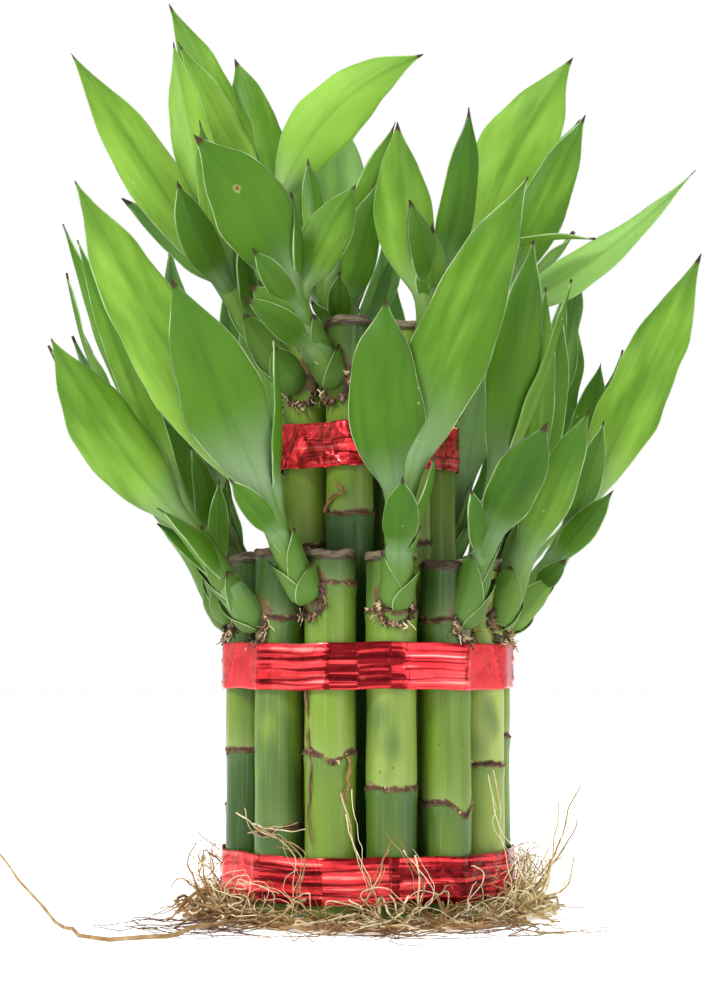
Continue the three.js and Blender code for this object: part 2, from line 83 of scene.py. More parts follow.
def around(angle, distance, z=0.0):
    """A point at an angle and a distance from the bundle's middle."""
    a = math.radians(angle)
    return np.array([distance * math.sin(a), -distance * math.cos(a), z])


def turned(angle):
    """The same angle, brought to between -180 and 180."""
    return (angle + 180) % 360 - 180


def ease(value, low, high):
    """0 below low, 1 above high, and a smooth rise between them."""
    share = np.clip((np.asarray(value, float) - low) / (high - low), 0, 1)
    return share * share * (3 - 2 * share)


def bump_at(value, middle, width):
    """1 at the middle, falling off smoothly on both sides."""
    return np.exp(-(((np.asarray(value, float) - middle) / width) ** 2))


# %% [markdown]
# ## From numbers to a mesh
#
# Most pieces here are skins over rings of points, so one function turns a grid of points into faces and
# another makes the Blender object. The object itself stays at the origin: its place is in its vertices. Extra
# numbers, such as how far a point is from a leaf's margin, go along as attributes, and the materials read
# them.

# %% Faces
def grid_faces(rows, columns, start=0, looped=False):
    """Four-sided faces over a grid that is closed round its columns and, if looped, round its rows too."""
    faces = []
    for i in range(rows if looped else rows - 1):
        here = start + i * columns
        above = start + (i + 1) % rows * columns
        for j in range(columns):
            k = (j + 1) % columns
            faces.append([here + j, here + k, above + k, above + j])
    return faces


def end_fans(rows, columns, low, top):
    """Three-sided faces that close a tube's two ends, round the point low and the point top."""
    last = (rows - 1) * columns
    faces = []
    for j in range(columns):
        k = (j + 1) % columns
        faces += [[k, j, low], [last + j, last + k, top]]
    return faces


# %% Meshes and objects
def make_mesh(name, points, edges, faces, attributes):
    """A mesh from points in millimetres, with a number or a vector for each point in its attributes."""
    mesh = bpy.data.meshes.new(name)
    mesh.from_pydata((np.asarray(points) * MM).tolist(), edges, faces)
    for key, values in attributes.items():
        values = np.asarray(values, np.float32)
        kind, field = ("FLOAT", "value") if values.ndim == 1 else ("FLOAT_VECTOR", "vector")
        mesh.attributes.new(key, kind, "POINT").data.foreach_set(field, values.ravel())
    return mesh


def make_object(name, data):
    """An object for a mesh, a lamp or a camera, linked to the scene."""
    made = bpy.data.objects.new(name, data)
    bpy.context.scene.collection.objects.link(made)
    return made


def make_piece(name, points, faces, material, attributes, smooth=True):
    """A mesh object with its shading, its attributes and its material."""
    mesh = make_mesh(name, points, [], faces, attributes)
    mesh.polygons.foreach_set("use_smooth", [smooth] * len(mesh.polygons))
    mesh.validate()
    mesh.update()
    mesh.materials.append(material)
    return make_object(name, mesh)


def seat(piece, slot, *nodes):
    """The piece moves with the bundle and stands for its plain solids. Its slot is not used."""
    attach(piece, "root")
    if nodes:
        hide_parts(*nodes)
    return piece


# %% [markdown]
# ## Node helpers
#
# Shader trees and geometry trees are built the same way: make a node, set what it needs, link what feeds it.
# The helpers below take plain values or other nodes' sockets for any input, so that a tree reads like a
# recipe.

# %% Adding nodes
NODE_STEP = 190  # from one node to the next in the node editor


def feed(tree, node, inputs):
    """Sets a node's inputs. Each is a value, or a socket or node that feeds it."""
    for key, value in inputs.items():
        if isinstance(value, bpy.types.Node):
            value = value.outputs[0]
        if isinstance(value, bpy.types.NodeSocket):
            tree.links.new(value, node.inputs[key])
        else:
            node.inputs[key].default_value = value


def add(tree, kind, inputs=None, **settings):
    """A node with its settings and inputs."""
    node = tree.nodes.new(kind)
    node.location = (NODE_STEP * len(tree.nodes), 0)
    for key, value in settings.items():
        setattr(node, key, value)
    feed(tree, node, inputs or {})
    return node


def group(name, inputs, outputs, kind="ShaderNodeTree"):
    """An empty node group with named sockets, and its two ends."""
    tree = bpy.data.node_groups.new(name, kind)
    for label, socket, value in inputs:
        made = tree.interface.new_socket(label, in_out="INPUT", socket_type="NodeSocket" + socket)
        if value is not None:
            made.default_value = value
    for label, socket in outputs:
        tree.interface.new_socket(label, in_out="OUTPUT", socket_type="NodeSocket" + socket)
    return tree, tree.nodes.new("NodeGroupInput").outputs, tree.nodes.new("NodeGroupOutput")


def use(tree, made, inputs):
    """Places a shader group in a material and gives its outputs."""
    return add(tree, "ShaderNodeGroup", inputs, node_tree=made).outputs


# %% Arithmetic in a tree
HALVES = (0.5, 0.5, 0.5)


def calc(tree, operation, *values):
    """One step of arithmetic."""
    return add(tree, "ShaderNodeMath", dict(enumerate(values)), operation=operation).outputs[0]


def times(tree, first, second):
    """One number times another."""
    return calc(tree, "MULTIPLY", first, second)


def vector_calc(tree, operation, vector, by):
    """One step of arithmetic on a vector."""
    return add(tree, "ShaderNodeVectorMath", {0: vector, 1: by}, operation=operation).outputs[0]


def stretch(tree, vector, by):
    """The same vector, with each axis scaled by its own number."""
    return vector_calc(tree, "MULTIPLY", vector, by)


def join(tree, x=0.0, y=0.0, z=0.0):
    """A vector from three numbers."""
    return add(tree, "ShaderNodeCombineXYZ", {0: x, 1: y, 2: z}).outputs[0]


def split(tree, vector):
    """The three numbers of a vector."""
    return add(tree, "ShaderNodeSeparateXYZ", {0: vector}).outputs


def remap(tree, value, low, high, to_low=0.0, to_high=1.0):
    """A smooth change from one number to another as a value goes from low to high."""
    inputs = {0: value, 1: low, 2: high, 3: to_low, 4: to_high}
    return add(tree, "ShaderNodeMapRange", inputs, interpolation_type="SMOOTHSTEP").outputs[0]


def noise_of(tree, vector, scale, detail=2.0):
    """A cloudy pattern, as a number from about 0 to 1."""
    return add(tree, "ShaderNodeTexNoise", {"Vector": vector, "Scale": scale, "Detail": detail}).outputs[0]


def swing_of(tree, vector, scale, detail=2.0):
    """The same cloudy pattern, on both sides of 0."""
    return calc(tree, "SUBTRACT", noise_of(tree, vector, scale, detail), 0.5)


def shake_of(tree, vector, scale, strength):
    """A cloudy pattern as a vector that points any way, with its strength."""
    inputs = {"Vector": vector, "Scale": scale, "Detail": 2.0}
    cloud = add(tree, "ShaderNodeTexNoise", inputs).outputs["Color"]
    swing = vector_calc(tree, "SUBTRACT", cloud, HALVES)
    return add(tree, "ShaderNodeVectorMath", {0: swing, "Scale": strength}, operation="SCALE").outputs[0]


def blend(tree, factor, first, second):
    """A mix of two colours."""
    return add(tree, "ShaderNodeMix", {0: factor, 6: first, 7: second}, data_type="RGBA").outputs[2]


def tint(tree, colour, mask, over, share=1.0):
    """The colour, with another one over it where a mask says and as strongly as the share says."""
    factor = mask if share == 1.0 else times(tree, mask, share)
    return blend(tree, factor, colour, (*over, 1))


# %% [markdown]
# ## Four effects that the finishes share
#
# Leaves, canes, foil and roots look quite different, yet they are made of the same few effects: a colour that
# drifts between three tones, a line that follows a measured distance, fine fibres that run one way, and a
# sprinkle of specks. Each one is a shader group with named sockets, built once, with a short function that
# places it.

# %% Shader group for drifting tones
GREY = (0.5, 0.5, 0.5, 1)

mottle, start, end = group(
    "drifting tones",
    [("Vector", "Vector", None), ("Scale", "Float", 50.0), ("Tone", "Float", 0.5), ("Drift", "Float", 0.5),
     ("Dark", "Color", GREY), ("Middle", "Color", GREY), ("Light", "Color", GREY)],
    [("Color", "Color"), ("Value", "Float")],
)
cloud = swing_of(mottle, start["Vector"], start["Scale"], 3)
shift = calc(mottle, "MULTIPLY_ADD", cloud, start["Drift"], start["Tone"])
lower = blend(mottle, remap(mottle, shift, 0.0, 0.5), start["Dark"], start["Middle"])
upper = blend(mottle, remap(mottle, shift, 0.5, 1.0), lower, start["Light"])
feed(mottle, end, {"Color": upper, "Value": shift})


def tones(dark, middle, light):
    """The three colours that a finish drifts between."""
    return {"Dark": (*dark, 1), "Middle": (*middle, 1), "Light": (*light, 1)}


def drifting(tree, vector, scale, tone, drift, colours):
    """A colour that drifts between three tones, on both sides of the tone that it is given."""
    inputs = {"Vector": vector, "Scale": scale, "Tone": tone, "Drift": drift, **colours}
    return use(tree, mottle, inputs)["Color"]


# %% Shader group for lines
line, start, end = group(
    "line at a distance",
    [("Distance", "Float", 1.0), ("Width", "Float", 0.5), ("Soft", "Float", 0.2), ("Ragged", "Float", 0.0),
     ("Vector", "Vector", None), ("Scale", "Float", 400.0)],
    [("Mask", "Float")],
)
wander = times(line, swing_of(line, start["Vector"], start["Scale"]), start["Ragged"])
away = calc(line, "ADD", calc(line, "ABSOLUTE", start["Distance"]), wander)
inside = calc(line, "SUBTRACT", start["Width"], away)
feed(line, end, {"Mask": remap(line, inside, 0.0, start["Soft"])})


def line_at(tree, distance, width, soft, vector, ragged=0.0, scale=400.0):
    """1 where a distance is less than a width, with a soft edge that may be ragged."""
    inputs = {"Distance": distance, "Width": width, "Soft": soft, "Vector": vector}
    return use(tree, line, {**inputs, "Ragged": ragged, "Scale": scale})["Mask"]


# %% Shader groups for fibres and specks
fibres, start, end = group(
    "fibres",
    [("Vector", "Vector", None), ("Stretch", "Vector", (1, 1, 0.05)), ("Scale", "Float", 900.0)],
    [("Height", "Float")],
)
pulled = stretch(fibres, start["Vector"], start["Stretch"])
feed(fibres, end, {"Height": noise_of(fibres, pulled, start["Scale"], 3)})

specks, start, end = group(
    "specks",
    [("Vector", "Vector", None), ("Scale", "Float", 200.0), ("Size", "Float", 0.2), ("Share", "Float", 0.2)],
    [("Mask", "Float")],
)
cells = add(specks, "ShaderNodeTexVoronoi", {"Vector": start["Vector"], "Scale": start["Scale"]}).outputs
first = add(specks, "ShaderNodeSeparateColor", {0: cells["Color"]})
chosen = calc(specks, "LESS_THAN", first, start["Share"])
spot = calc(specks, "LESS_THAN", cells["Distance"], start["Size"])
feed(specks, end, {"Mask": times(specks, chosen, spot)})


def fibres_along(tree, vector, pull, scale):
    """Fine fibres, as a height. The axis with the smallest pull is the one that they run along."""
    return use(tree, fibres, {"Vector": vector, "Stretch": pull, "Scale": scale})["Height"]


def specks_in(tree, vector, scale, size, share):
    """1 inside specks of a size, in a share of all the cells."""
    return use(tree, specks, {"Vector": vector, "Scale": scale, "Size": size, "Share": share})["Mask"]


print("shader groups:", [tree.name for tree in (mottle, line, fibres, specks)])


# %% Start of every finish
def finish(name):
    """A new material with its Principled shader, and its Object coordinates."""
    material = bpy.data.materials.new(name)
    material.use_nodes = True
    tree = material.node_tree
    place = add(tree, "ShaderNodeTexCoord").outputs["Object"]
    return material, tree, tree.nodes["Principled BSDF"], place


def attribute(tree, name, output):
    """A number, as Fac, or a vector, as Vector, that the mesh carries."""
    return add(tree, "ShaderNodeAttribute", attribute_name=name).outputs[output]


def read(tree, name):
    """The three numbers of a vector attribute."""
    return split(tree, attribute(tree, name, "Vector"))


def relief(tree, shader, height, distance, strength):
    """Fine relief from a height, by a Bump node, because it is too fine for the mesh."""
    bump = add(tree, "ShaderNodeBump", {"Height": height, "Distance": distance, "Strength": strength})
    feed(tree, shader, {"Normal": bump})


# %% [markdown]
# ## The leaf finish
#
# A fresh leaf lets light through, so a Translucent shader is mixed with the Principled one. Its green is
# lighter where it is young, pale where it clasps the stem, and runs in fine stripes from base to tip. The
# margin is a thin pale line with a painted highlight, as where an edge catches the light, and the very tip is
# dry and brown. All of these follow distances that the mesh carries in millimetres, so every leaf gets the
# same width of margin however wide it is.

# %% Greens of a leaf
LEAF_GREENS = tones((0.030, 0.108, 0.005), (0.103, 0.260, 0.010), (0.345, 0.600, 0.075))
TIP_GREEN, BACK_GREEN = (0.060, 0.190, 0.020), (0.340, 0.560, 0.270)
CLASP_GREEN, YOUNG_GREEN = (0.345, 0.490, 0.280), (0.160, 0.310, 0.030)


def leaf_green(tree, along, from_tip, growth, side):
    """The changing green of a leaf, before its lines and marks."""
    tone, pale, _ = growth
    under, _, young = side
    clouds = swing_of(tree, stretch(tree, along, (0.45, 3.2, 1)), 0.32, 3)
    toned = calc(tree, "MULTIPLY_ADD", clouds, 0.6, tone)
    spread = stretch(tree, along, (0.75, 2.0, 1))
    colour = drifting(tree, spread, 0.42, tone=toned, drift=0.36, colours=LEAF_GREENS)
    colour = tint(tree, colour, remap(tree, from_tip, 2.0, 26.0, 0.42, 0.0), TIP_GREEN)
    colour = tint(tree, colour, under, BACK_GREEN, 0.25)
    bloom = times(tree, pale, remap(tree, noise_of(tree, along, 0.5, 2), 0.2, 0.8, 0.72, 0.98))
    colour = tint(tree, colour, bloom, CLASP_GREEN)
    return tint(tree, colour, young, YOUNG_GREEN, 0.6)


# %% Lines and marks of a leaf
FOOT_RING, MIDRIB, MARGIN_AND_HIGHLIGHT = (0.330, 0.400, 0.170), (0.050, 0.160, 0.014), (0.600, 0.760, 0.400)
DULL_EDGE, DRY_TIP, FLECK = (0.140, 0.120, 0.150), (0.080, 0.046, 0.022), (0.480, 0.640, 0.260)
SPOT_RIM, SPOT_CORE = (0.400, 0.420, 0.130), (0.180, 0.080, 0.025)
SPOT = (-0.0338, -0.0053, 0.1896)  # a dry spot on one leaf, in metres, with its depth flattened
FLATTEN = (1, 0.15, 1)


def leaf_lines(tree, colour, place, along, span, from_base, number):
    """The lines of a leaf: the ring at its foot, its midrib, its pale margin with a painted highlight and its
    dry tip.
    """
    across, from_tip, from_edge = span
    ring = line_at(tree, from_base, 0.5, 0.4, place, ragged=0.5, scale=500.0)
    colour = tint(tree, colour, ring, FOOT_RING, 0.7)
    rib = line_at(tree, across, 1.0, 1.0, along, ragged=0.3, scale=2.0)
    colour = tint(tree, colour, rib, MIDRIB, 0.20)
    # The pale margin, with a painted highlight as where the edge catches the light.
    margin_and_highlight = line_at(tree, from_edge, 0.34, 0.2, place, ragged=0.25)
    patchy = remap(tree, noise_of(tree, place, 90.0, 2), 0.36, 0.60, 0.25, 0.9)
    colour = tint(tree, colour, times(tree, margin_and_highlight, patchy), MARGIN_AND_HIGHLIGHT)
    dull = line_at(tree, from_edge, 0.22, 0.12, place)
    stained = remap(tree, noise_of(tree, place, 55.0, 1), 0.60, 0.68)
    colour = tint(tree, colour, times(tree, dull, stained), DULL_EDGE)
    length = calc(tree, "MULTIPLY_ADD", number, 2.2, 1.5)
    dry = line_at(tree, from_tip, length, 1.3, along, ragged=2.0, scale=1.0)
    return tint(tree, colour, dry, DRY_TIP)


def leaf_marks(tree, colour, place):
    """Small pale flecks on every leaf, and the one dry spot that the photo shows."""
    colour = tint(tree, colour, specks_in(tree, place, 240.0, size=0.09, share=0.05), FLECK, 0.5)
    flat = stretch(tree, place, FLATTEN)
    away = add(tree, "ShaderNodeVectorMath", {0: flat, 1: SPOT}, operation="DISTANCE").outputs["Value"]
    spot = line_at(tree, away, 0.0013, 0.0004, place, ragged=0.0014, scale=700.0)
    core = line_at(tree, away, 0.0008, 0.0003, place, ragged=0.0010, scale=900.0)
    return tint(tree, tint(tree, colour, spot, SPOT_RIM, 0.8), core, SPOT_CORE, 0.85)


# %% Leaf finish
LIGHT_THROUGH = 0.42  # the share of a leaf's look that is light from behind


def leaf_finish():
    """A leaf's two shaders, with its greens, lines, marks and veins."""
    material, tree, shader, place = finish("fresh_leaf")
    span, growth, side = read(tree, "span"), read(tree, "growth"), read(tree, "side")
    from_tip, from_base, number = span[1], side[1], growth[2]
    along = join(tree, span[0], times(tree, from_tip, 0.035), times(tree, number, 90.0))
    colour = leaf_green(tree, along, from_tip, growth, side)
    colour = leaf_lines(tree, colour, place, along, span, from_base, number)
    colour = leaf_marks(tree, colour, place)
    veins = fibres_along(tree, along, (1, 0.5, 1), 2.6)
    satin = remap(tree, veins, 0.3, 0.7, 0.40, 0.54)
    feed(tree, shader, {"Base Color": colour, "Roughness": satin, "Specular IOR Level": 0.28})
    relief(tree, shader, veins, distance=0.00022, strength=0.5)
    through = add(tree, "ShaderNodeBsdfTranslucent", {"Color": colour})
    both = add(tree, "ShaderNodeMixShader", {0: LIGHT_THROUGH, 1: shader, 2: through})
    feed(tree, tree.nodes["Material Output"], {"Surface": both})
    return material


LEAF = leaf_finish()
print("leaf finish:", len(LEAF.node_tree.nodes), "nodes")

# %% [markdown]
# ## The cane finish
#
# A cane is a smooth green rod with brown rings where leaves once grew. Each mesh point knows how far above or
# below the nearest ring it is and how far under the cut top, so the brown line, the darker green under it and
# the grey dried cap all come from two distances. Large dark clouds, long thin streaks and a few specks break
# up the green.

# %% Green and bark of a cane
CANE_GREENS = tones((0.022, 0.062, 0.006), (0.150, 0.240, 0.020), (0.350, 0.430, 0.095))
BARKS = tones((0.036, 0.015, 0.008), (0.130, 0.066, 0.028), (0.430, 0.330, 0.180))
CLOUD, STREAK, SPECK = (0.030, 0.080, 0.020), (0.330, 0.480, 0.190), (0.090, 0.060, 0.030)
UNDER_RING, OVER_RING, RING_CORE = (0.050, 0.125, 0.026), (0.310, 0.400, 0.140), (0.040, 0.017, 0.010)


def cane_green(tree, place, tone, below, above, streaks):
    """Drifting green with dark clouds and pale streaks, deeper under each ring and paler over it."""
    upright = stretch(tree, place, (1, 1, 0.12))
    colour = drifting(tree, upright, 120.0, tone=tone, drift=0.6, colours=CANE_GREENS)
    clouds = noise_of(tree, stretch(tree, place, (1, 1, 0.55)), 58.0, 2)
    colour = tint(tree, colour, remap(tree, clouds, 0.53, 0.70, 0.0, 0.75), CLOUD)
    colour = tint(tree, colour, below, UNDER_RING, 0.62)
    colour = tint(tree, colour, above, OVER_RING, 0.35)
    return tint(tree, colour, remap(tree, streaks, 0.52, 0.75, 0.0, 0.13), STREAK)


def cane_bark(tree, colour, place, scar, stain):
    """The brown rings, the stain round the shoot's foot and a few specks, with the rings' mask."""
    bark = drifting(tree, place, 520.0, tone=0.42, drift=1.5, colours=BARKS)
    ring = line_at(tree, scar, 1.05, 0.6, place, ragged=2.4, scale=380.0)
    colour = blend(tree, ring, colour, bark)
    stained = calc(tree, "MULTIPLY_ADD", swing_of(tree, place, 330.0, 3), 1.6, stain)
    colour = blend(tree, remap(tree, stained, 0.40, 0.80, 0.0, 0.85), colour, bark)
    core = line_at(tree, scar, 0.40, 0.2, place, ragged=1.1, scale=380.0)
    colour = tint(tree, colour, core, RING_CORE, 0.85)
    return tint(tree, colour, specks_in(tree, place, 330.0, size=0.13, share=0.09), SPECK, 0.7), ring


# %% Cane finish
CAP_GREYS = tones((0.045, 0.028, 0.016), (0.165, 0.125, 0.076), (0.420, 0.370, 0.250))
SHADE_UNDER_LID = (0.045, 0.030, 0.018)


def cane_cap(tree, colour, place, from_top, tone):
    """The dried lid on a cut top, over a dark line of painted shade under its rim, with the lid's mask."""
    # Painted shade: a dark band under the lid's overhanging rim.
    under = line_at(tree, from_top, 2.9, 0.5, place, ragged=0.9, scale=300.0)
    colour = tint(tree, colour, under, SHADE_UNDER_LID, 0.9)
    # The lid's tone follows the cane's, so the painted shade in it carries over.
    cap_tone = calc(tree, "MULTIPLY_ADD", tone, 0.5, 0.26)
    rings = stretch(tree, place, (0.5, 0.5, 2.5))
    dried = drifting(tree, rings, 420.0, tone=cap_tone, drift=1.5, colours=CAP_GREYS)
    cap = line_at(tree, from_top, 2.0, 0.35, place, ragged=0.7, scale=300.0)
    return blend(tree, cap, colour, dried), cap


def cane_finish():
    """Satin green, matt and crusted where it is bark or dried."""
    material, tree, shader, place = finish("green_cane")
    scar, from_top, tone = read(tree, "cane")
    below, above, stain = read(tree, "shade")
    streaks = fibres_along(tree, place, (1, 1, 0.02), 1500.0)
    colour = cane_green(tree, place, tone, below, above, streaks)
    colour, ring = cane_bark(tree, colour, place, scar, stain)
    colour, cap = cane_cap(tree, colour, place, from_top, tone)
    matt = calc(tree, "MAXIMUM", cap, times(tree, ring, 0.8))
    satin = remap(tree, matt, 0.0, 1.0, 0.33, 0.85)
    feed(tree, shader, {"Base Color": colour, "Roughness": satin, "Specular IOR Level": 0.34})
    crust = times(tree, noise_of(tree, place, 900.0, 4), times(tree, matt, 2.2))
    height = calc(tree, "MULTIPLY_ADD", streaks, 0.35, crust)
    relief(tree, shader, height, distance=0.00035, strength=0.7)
    return material


CANE = cane_finish()
print("cane finish:", len(CANE.node_tree.nodes), "nodes")

# %% [markdown]
# ## The foil finish
#
# The ribbons are metallised foil. Metal shows what it reflects, so most of the look comes from the creases in
# the mesh. The material adds the finer crumple, painted shade as dark lines along the pleats and creases,
# painted reflections as the long dark and bright stripes that a room would mirror in them, and a few pinholes
# where the colour has rubbed off. The painted stripes break off where an upright crease ends a panel, because
# the next panel would mirror another part of the room.

# %% Foil finish
FOIL_REDS = tones((0.430, 0.004, 0.010), (0.740, 0.022, 0.032), (0.900, 0.110, 0.110))
DARK_REFLECTION, BRIGHT_REFLECTION = (0.170, 0.001, 0.004), (0.980, 0.330, 0.290)
CREASE_SHADE, PINHOLE = (0.075, 0.001, 0.002), (0.060, 0.004, 0.006)


def painted_reflections(tree, colour, spread, striped):
    """Painted reflections: long dark and bright stripes, as a room would mirror them, where the band is
    striped.
    """
    # The panel attribute makes the painted reflections darker or brighter on chosen panels.
    shine = calc(tree, "ADD", noise_of(tree, spread, 0.62, 2), attribute(tree, "panel", "Fac"))
    dark_reflection = times(tree, remap(tree, shine, 0.50, 0.40), striped)
    colour = tint(tree, colour, dark_reflection, DARK_REFLECTION)
    bright_reflection = times(tree, remap(tree, shine, 0.57, 0.66), striped)
    return tint(tree, colour, bright_reflection, BRIGHT_REFLECTION, 0.75)


def foil_finish():
    """Red metal with painted reflections, painted shade along its pleats and creases, pinholes and a fine
    crumple.
    """
    material, tree, shader, place = finish("red_foil")
    pleat, crease, crumple = read(tree, "fold")
    along, across, striped = read(tree, "band")
    spread = join(tree, times(tree, along, 0.03), across)
    colour = drifting(tree, place, 70.0, tone=0.66, drift=0.6, colours=FOIL_REDS)
    colour = painted_reflections(tree, colour, spread, striped)
    pleats = times(tree, line_at(tree, pleat, 0.30, 0.25, spread), 0.85)
    creases = times(tree, line_at(tree, crease, 0.32, 0.3, place, ragged=0.3, scale=300.0), 0.4)
    # Painted shade: dark lines in the pleats and creases, where the foil folds in.
    colour = tint(tree, colour, calc(tree, "MAXIMUM", pleats, creases), CREASE_SHADE)
    colour = tint(tree, colour, specks_in(tree, place, 210.0, size=0.10, share=0.07), PINHOLE, 0.75)
    wear = remap(tree, noise_of(tree, place, 500.0, 3), 0.3, 0.7, 0.17, 0.32)
    feed(tree, shader, {"Base Color": colour, "Metallic": 0.82, "Roughness": wear})
    facets = add(tree, "ShaderNodeTexVoronoi", {"Vector": place, "Scale": 105.0}, feature="DISTANCE_TO_EDGE")
    wrinkles = calc(tree, "MULTIPLY_ADD", facets.outputs["Distance"], 1.8, noise_of(tree, place, 110.0, 2))
    relief(tree, shader, times(tree, wrinkles, crumple), distance=0.0016, strength=0.9)
    return material


FOIL = foil_finish()
print("foil finish:", len(FOIL.node_tree.nodes), "nodes")

# %% [markdown]
# ## The finishes of roots and dry scales
#
# Fresh roots are cream, older ones tan, and dead ones brown. One finish serves them all: each strand carries
# its own tone. Roots are yellower at the bundle's right side and stained where they touch the floor. The dry
# scales at the ring scars are brown paper, in the same finish with deeper tones.

# %% Root and scale finishes
ROOT_TONES = tones((0.034, 0.015, 0.008), (0.270, 0.150, 0.042), (0.840, 0.740, 0.470))
SCALE_TONES = tones((0.030, 0.011, 0.007), (0.125, 0.056, 0.026), (0.520, 0.400, 0.230))
STRAW, FLOOR_STAIN, DIRT = (0.560, 0.470, 0.150), (0.300, 0.110, 0.030), (0.070, 0.038, 0.018)


def root_finish(name, colours, scale):
    """Dry matt root or bark, whose tones drift at a scale."""
    material, tree, shader, place = finish(name)
    tone = attribute(tree, "tone", "Fac")
    colour = drifting(tree, place, scale, tone=tone, drift=0.55, colours=colours)
    x, _, z = split(tree, place)
    colour = tint(tree, colour, remap(tree, x, 0.030, 0.048, 0.0, 0.30), STRAW)
    colour = tint(tree, colour, remap(tree, z, 0.006, 0.001, 0.0, 0.24), FLOOR_STAIN)
    colour = tint(tree, colour, specks_in(tree, place, 700.0, size=0.3, share=0.2), DIRT, 0.5)
    grain = fibres_along(tree, place, (1, 1, 1), 1800.0)
    feed(tree, shader, {"Base Color": colour, "Roughness": remap(tree, grain, 0.3, 0.7, 0.6, 0.85)})
    relief(tree, shader, grain, distance=0.0002, strength=0.6)
    return material


ROOT = root_finish("dry_root", ROOT_TONES, 260.0)
SCALE = root_finish("dry_scale", SCALE_TONES, 420.0)
print("finishes:", [material.name for material in (LEAF, CANE, FOIL, ROOT, SCALE)])

# %% [markdown]
# ## Where the canes stand
#
# The canes stand in two rings round one in the middle. The rows for the canes in front say what can be seen
# of them: the tone of each length between rings, which also paints the shade that falls on some lengths, how
# high the rings are, how thick the cane is, where its top is cut and how that cut slopes, and one ring that
# dips. The others follow the same rule as the plain solids, so the finer canes stand exactly where those do.

# %% Where the canes stand
# Some tones also paint shade: the darkest ones, below 0, stand for lengths that shoots and other canes shade.
OUTER_SEEN = [
    dict(tones=(0.02, 0.30), scars=[44], wide=12.6, top=95.9, slope=(0.05, 0)),
    dict(tones=(0.34, 0.56, -0.02), scars=[24.6, 78.8], wide=12.8, top=96.5, slope=(0.02, 0), dip=(10, 1.6)),
    dict(tones=(0.40, 0.52, 0.20), scars=[44, 87.3], wide=13.4, top=96, slope=(-0.03, 0), dip=(25, 2.4)),
    dict(tones=(0.18, 0.68, 0.38), scars=[35, 80.4], wide=13.2, top=95.6, slope=(0.04, 0)),
    dict(tones=(0.22, 0.36, -0.45), scars=[31, 78], wide=13.4, top=93.2, slope=(-0.03, 0.02), dip=(5, 3.2)),
    dict(tones=(0.78, 0.90), scars=[40.2], wide=12.8, top=94, slope=(0, 0.03)),
    dict(tones=(0.50, 0.54), scars=[47.3], wide=12.6, top=95, slope=(0.02, 0.02)),
]
INNER_SEEN = [
    dict(tones=(0.50, 0.56, 0.56, 0.44), scars=[50, 98, 143.8], wide=12.6, top=157.6, slope=(0.03, 0)),
    dict(tones=(-0.12, 0.36, 0.12), scars=[106.4, 144.9], wide=13, top=158.6, slope=(-0.02, 0)),
    dict(tones=(0.66, 0.72, 0.44), scars=[98.5, 143], wide=12.6, top=157.8, slope=(0.04, 0.01)),
]
CENTRE_TURN, CENTRE_OFF = 216.3, 4.1  # the middle cane stands a little off the axis


def canes_of(kind, count, radius, first, top, seen, seed):
    """A ring of canes. Those that can't be seen differ a little from each other, by seeded draws."""
    draw = draws(seed)
    ring = []
    for i in range(count):
        angle = first + 360 / count * i
        cane = dict(
            scars=[24 + 24 * next(draw), top - 17 - 5 * next(draw)],
            wide=CANE_WIDE + either_way(draw, 0.5),
            top=top + either_way(draw, 3),
            slope=(either_way(draw, 0.06), either_way(draw, 0.06)),
        )
        cane.update(seen[i] if i < len(seen) else {})
        cane.update(node=f"cane_{kind}_{i + 1:02d}", seed=seed * 31 + i)
        cane.update(angle=angle, foot=around(angle, radius))
        ring.append(cane)
    return ring


outer_canes = canes_of("outer", OUTER_COUNT, OUTER_RADIUS, OUTER_FIRST, OUTER_TOP, OUTER_SEEN, seed=11)
inner_canes = canes_of("inner", INNER_COUNT, INNER_RADIUS, INNER_FIRST, INNER_TOP, INNER_SEEN, seed=23)
centre_cane = dict(scars=[60, 120], wide=15, top=157, slope=(0, 0), node="cane_centre", angle=CENTRE_TURN,
                   foot=around(CENTRE_TURN, CENTRE_OFF), seed=9)
canes = [*outer_canes, *inner_canes, centre_cane]
print("canes to make:", len(canes))

# %% [markdown]
# ## Foil ribbons
#
# A ribbon pulled tight round a ring of canes follows each cane for a little way and crosses to the next one
# in a straight line. That is the outline of all the canes seen from above. For every direction the function
# below finds the cane that reaches furthest, and the path is the row of those points.
#
# The foil itself is a closed thin shell over that path. Sharp slanted creases and lengthwise pleats push it
# in and out by a few tenths of a millimetre, which is enough, because metal shows every change of slope. At
# the back each ribbon laps over itself for the length of one cane.

# %% Ribbon path
RIBBON_STEP = 0.75  # from one row of points to the next
RIBBON_GAP = 0.75  # from the canes to the foil's inner face


def taut_path(ring):
    """Points round a ring of canes with the direction away from the middle, evenly spaced."""
    directions = np.array([around(angle, 1) for angle in np.arange(0, 360, 0.25)])
    reach = np.array([directions @ cane["foot"] + cane["wide"] / 2 + RIBBON_GAP for cane in ring])
    furthest = [ring[i] for i in reach.argmax(0)]
    feet = np.array([cane["foot"] for cane in furthest])
    half = np.array([cane["wide"] / 2 + RIBBON_GAP for cane in furthest])
    points = feet + directions * half[:, None]
    closed = np.concatenate([points, points[:1]])
    length = np.concatenate([[0], np.cumsum(np.linalg.norm(np.diff(closed, axis=0), axis=1))])
    count = int(length[-1] / RIBBON_STEP)
    spots = np.arange(count) * length[-1] / count
    path = np.stack([np.interp(spots, length, closed[:, k]) for k in range(3)], 1)
    ahead = np.roll(path, -1, 0) - np.roll(path, 1, 0)
    outward = np.stack([ahead[:, 1], -ahead[:, 0], np.zeros(count)], 1)
    outward /= np.linalg.norm(outward, axis=1)[:, None]
    return path, outward, spots


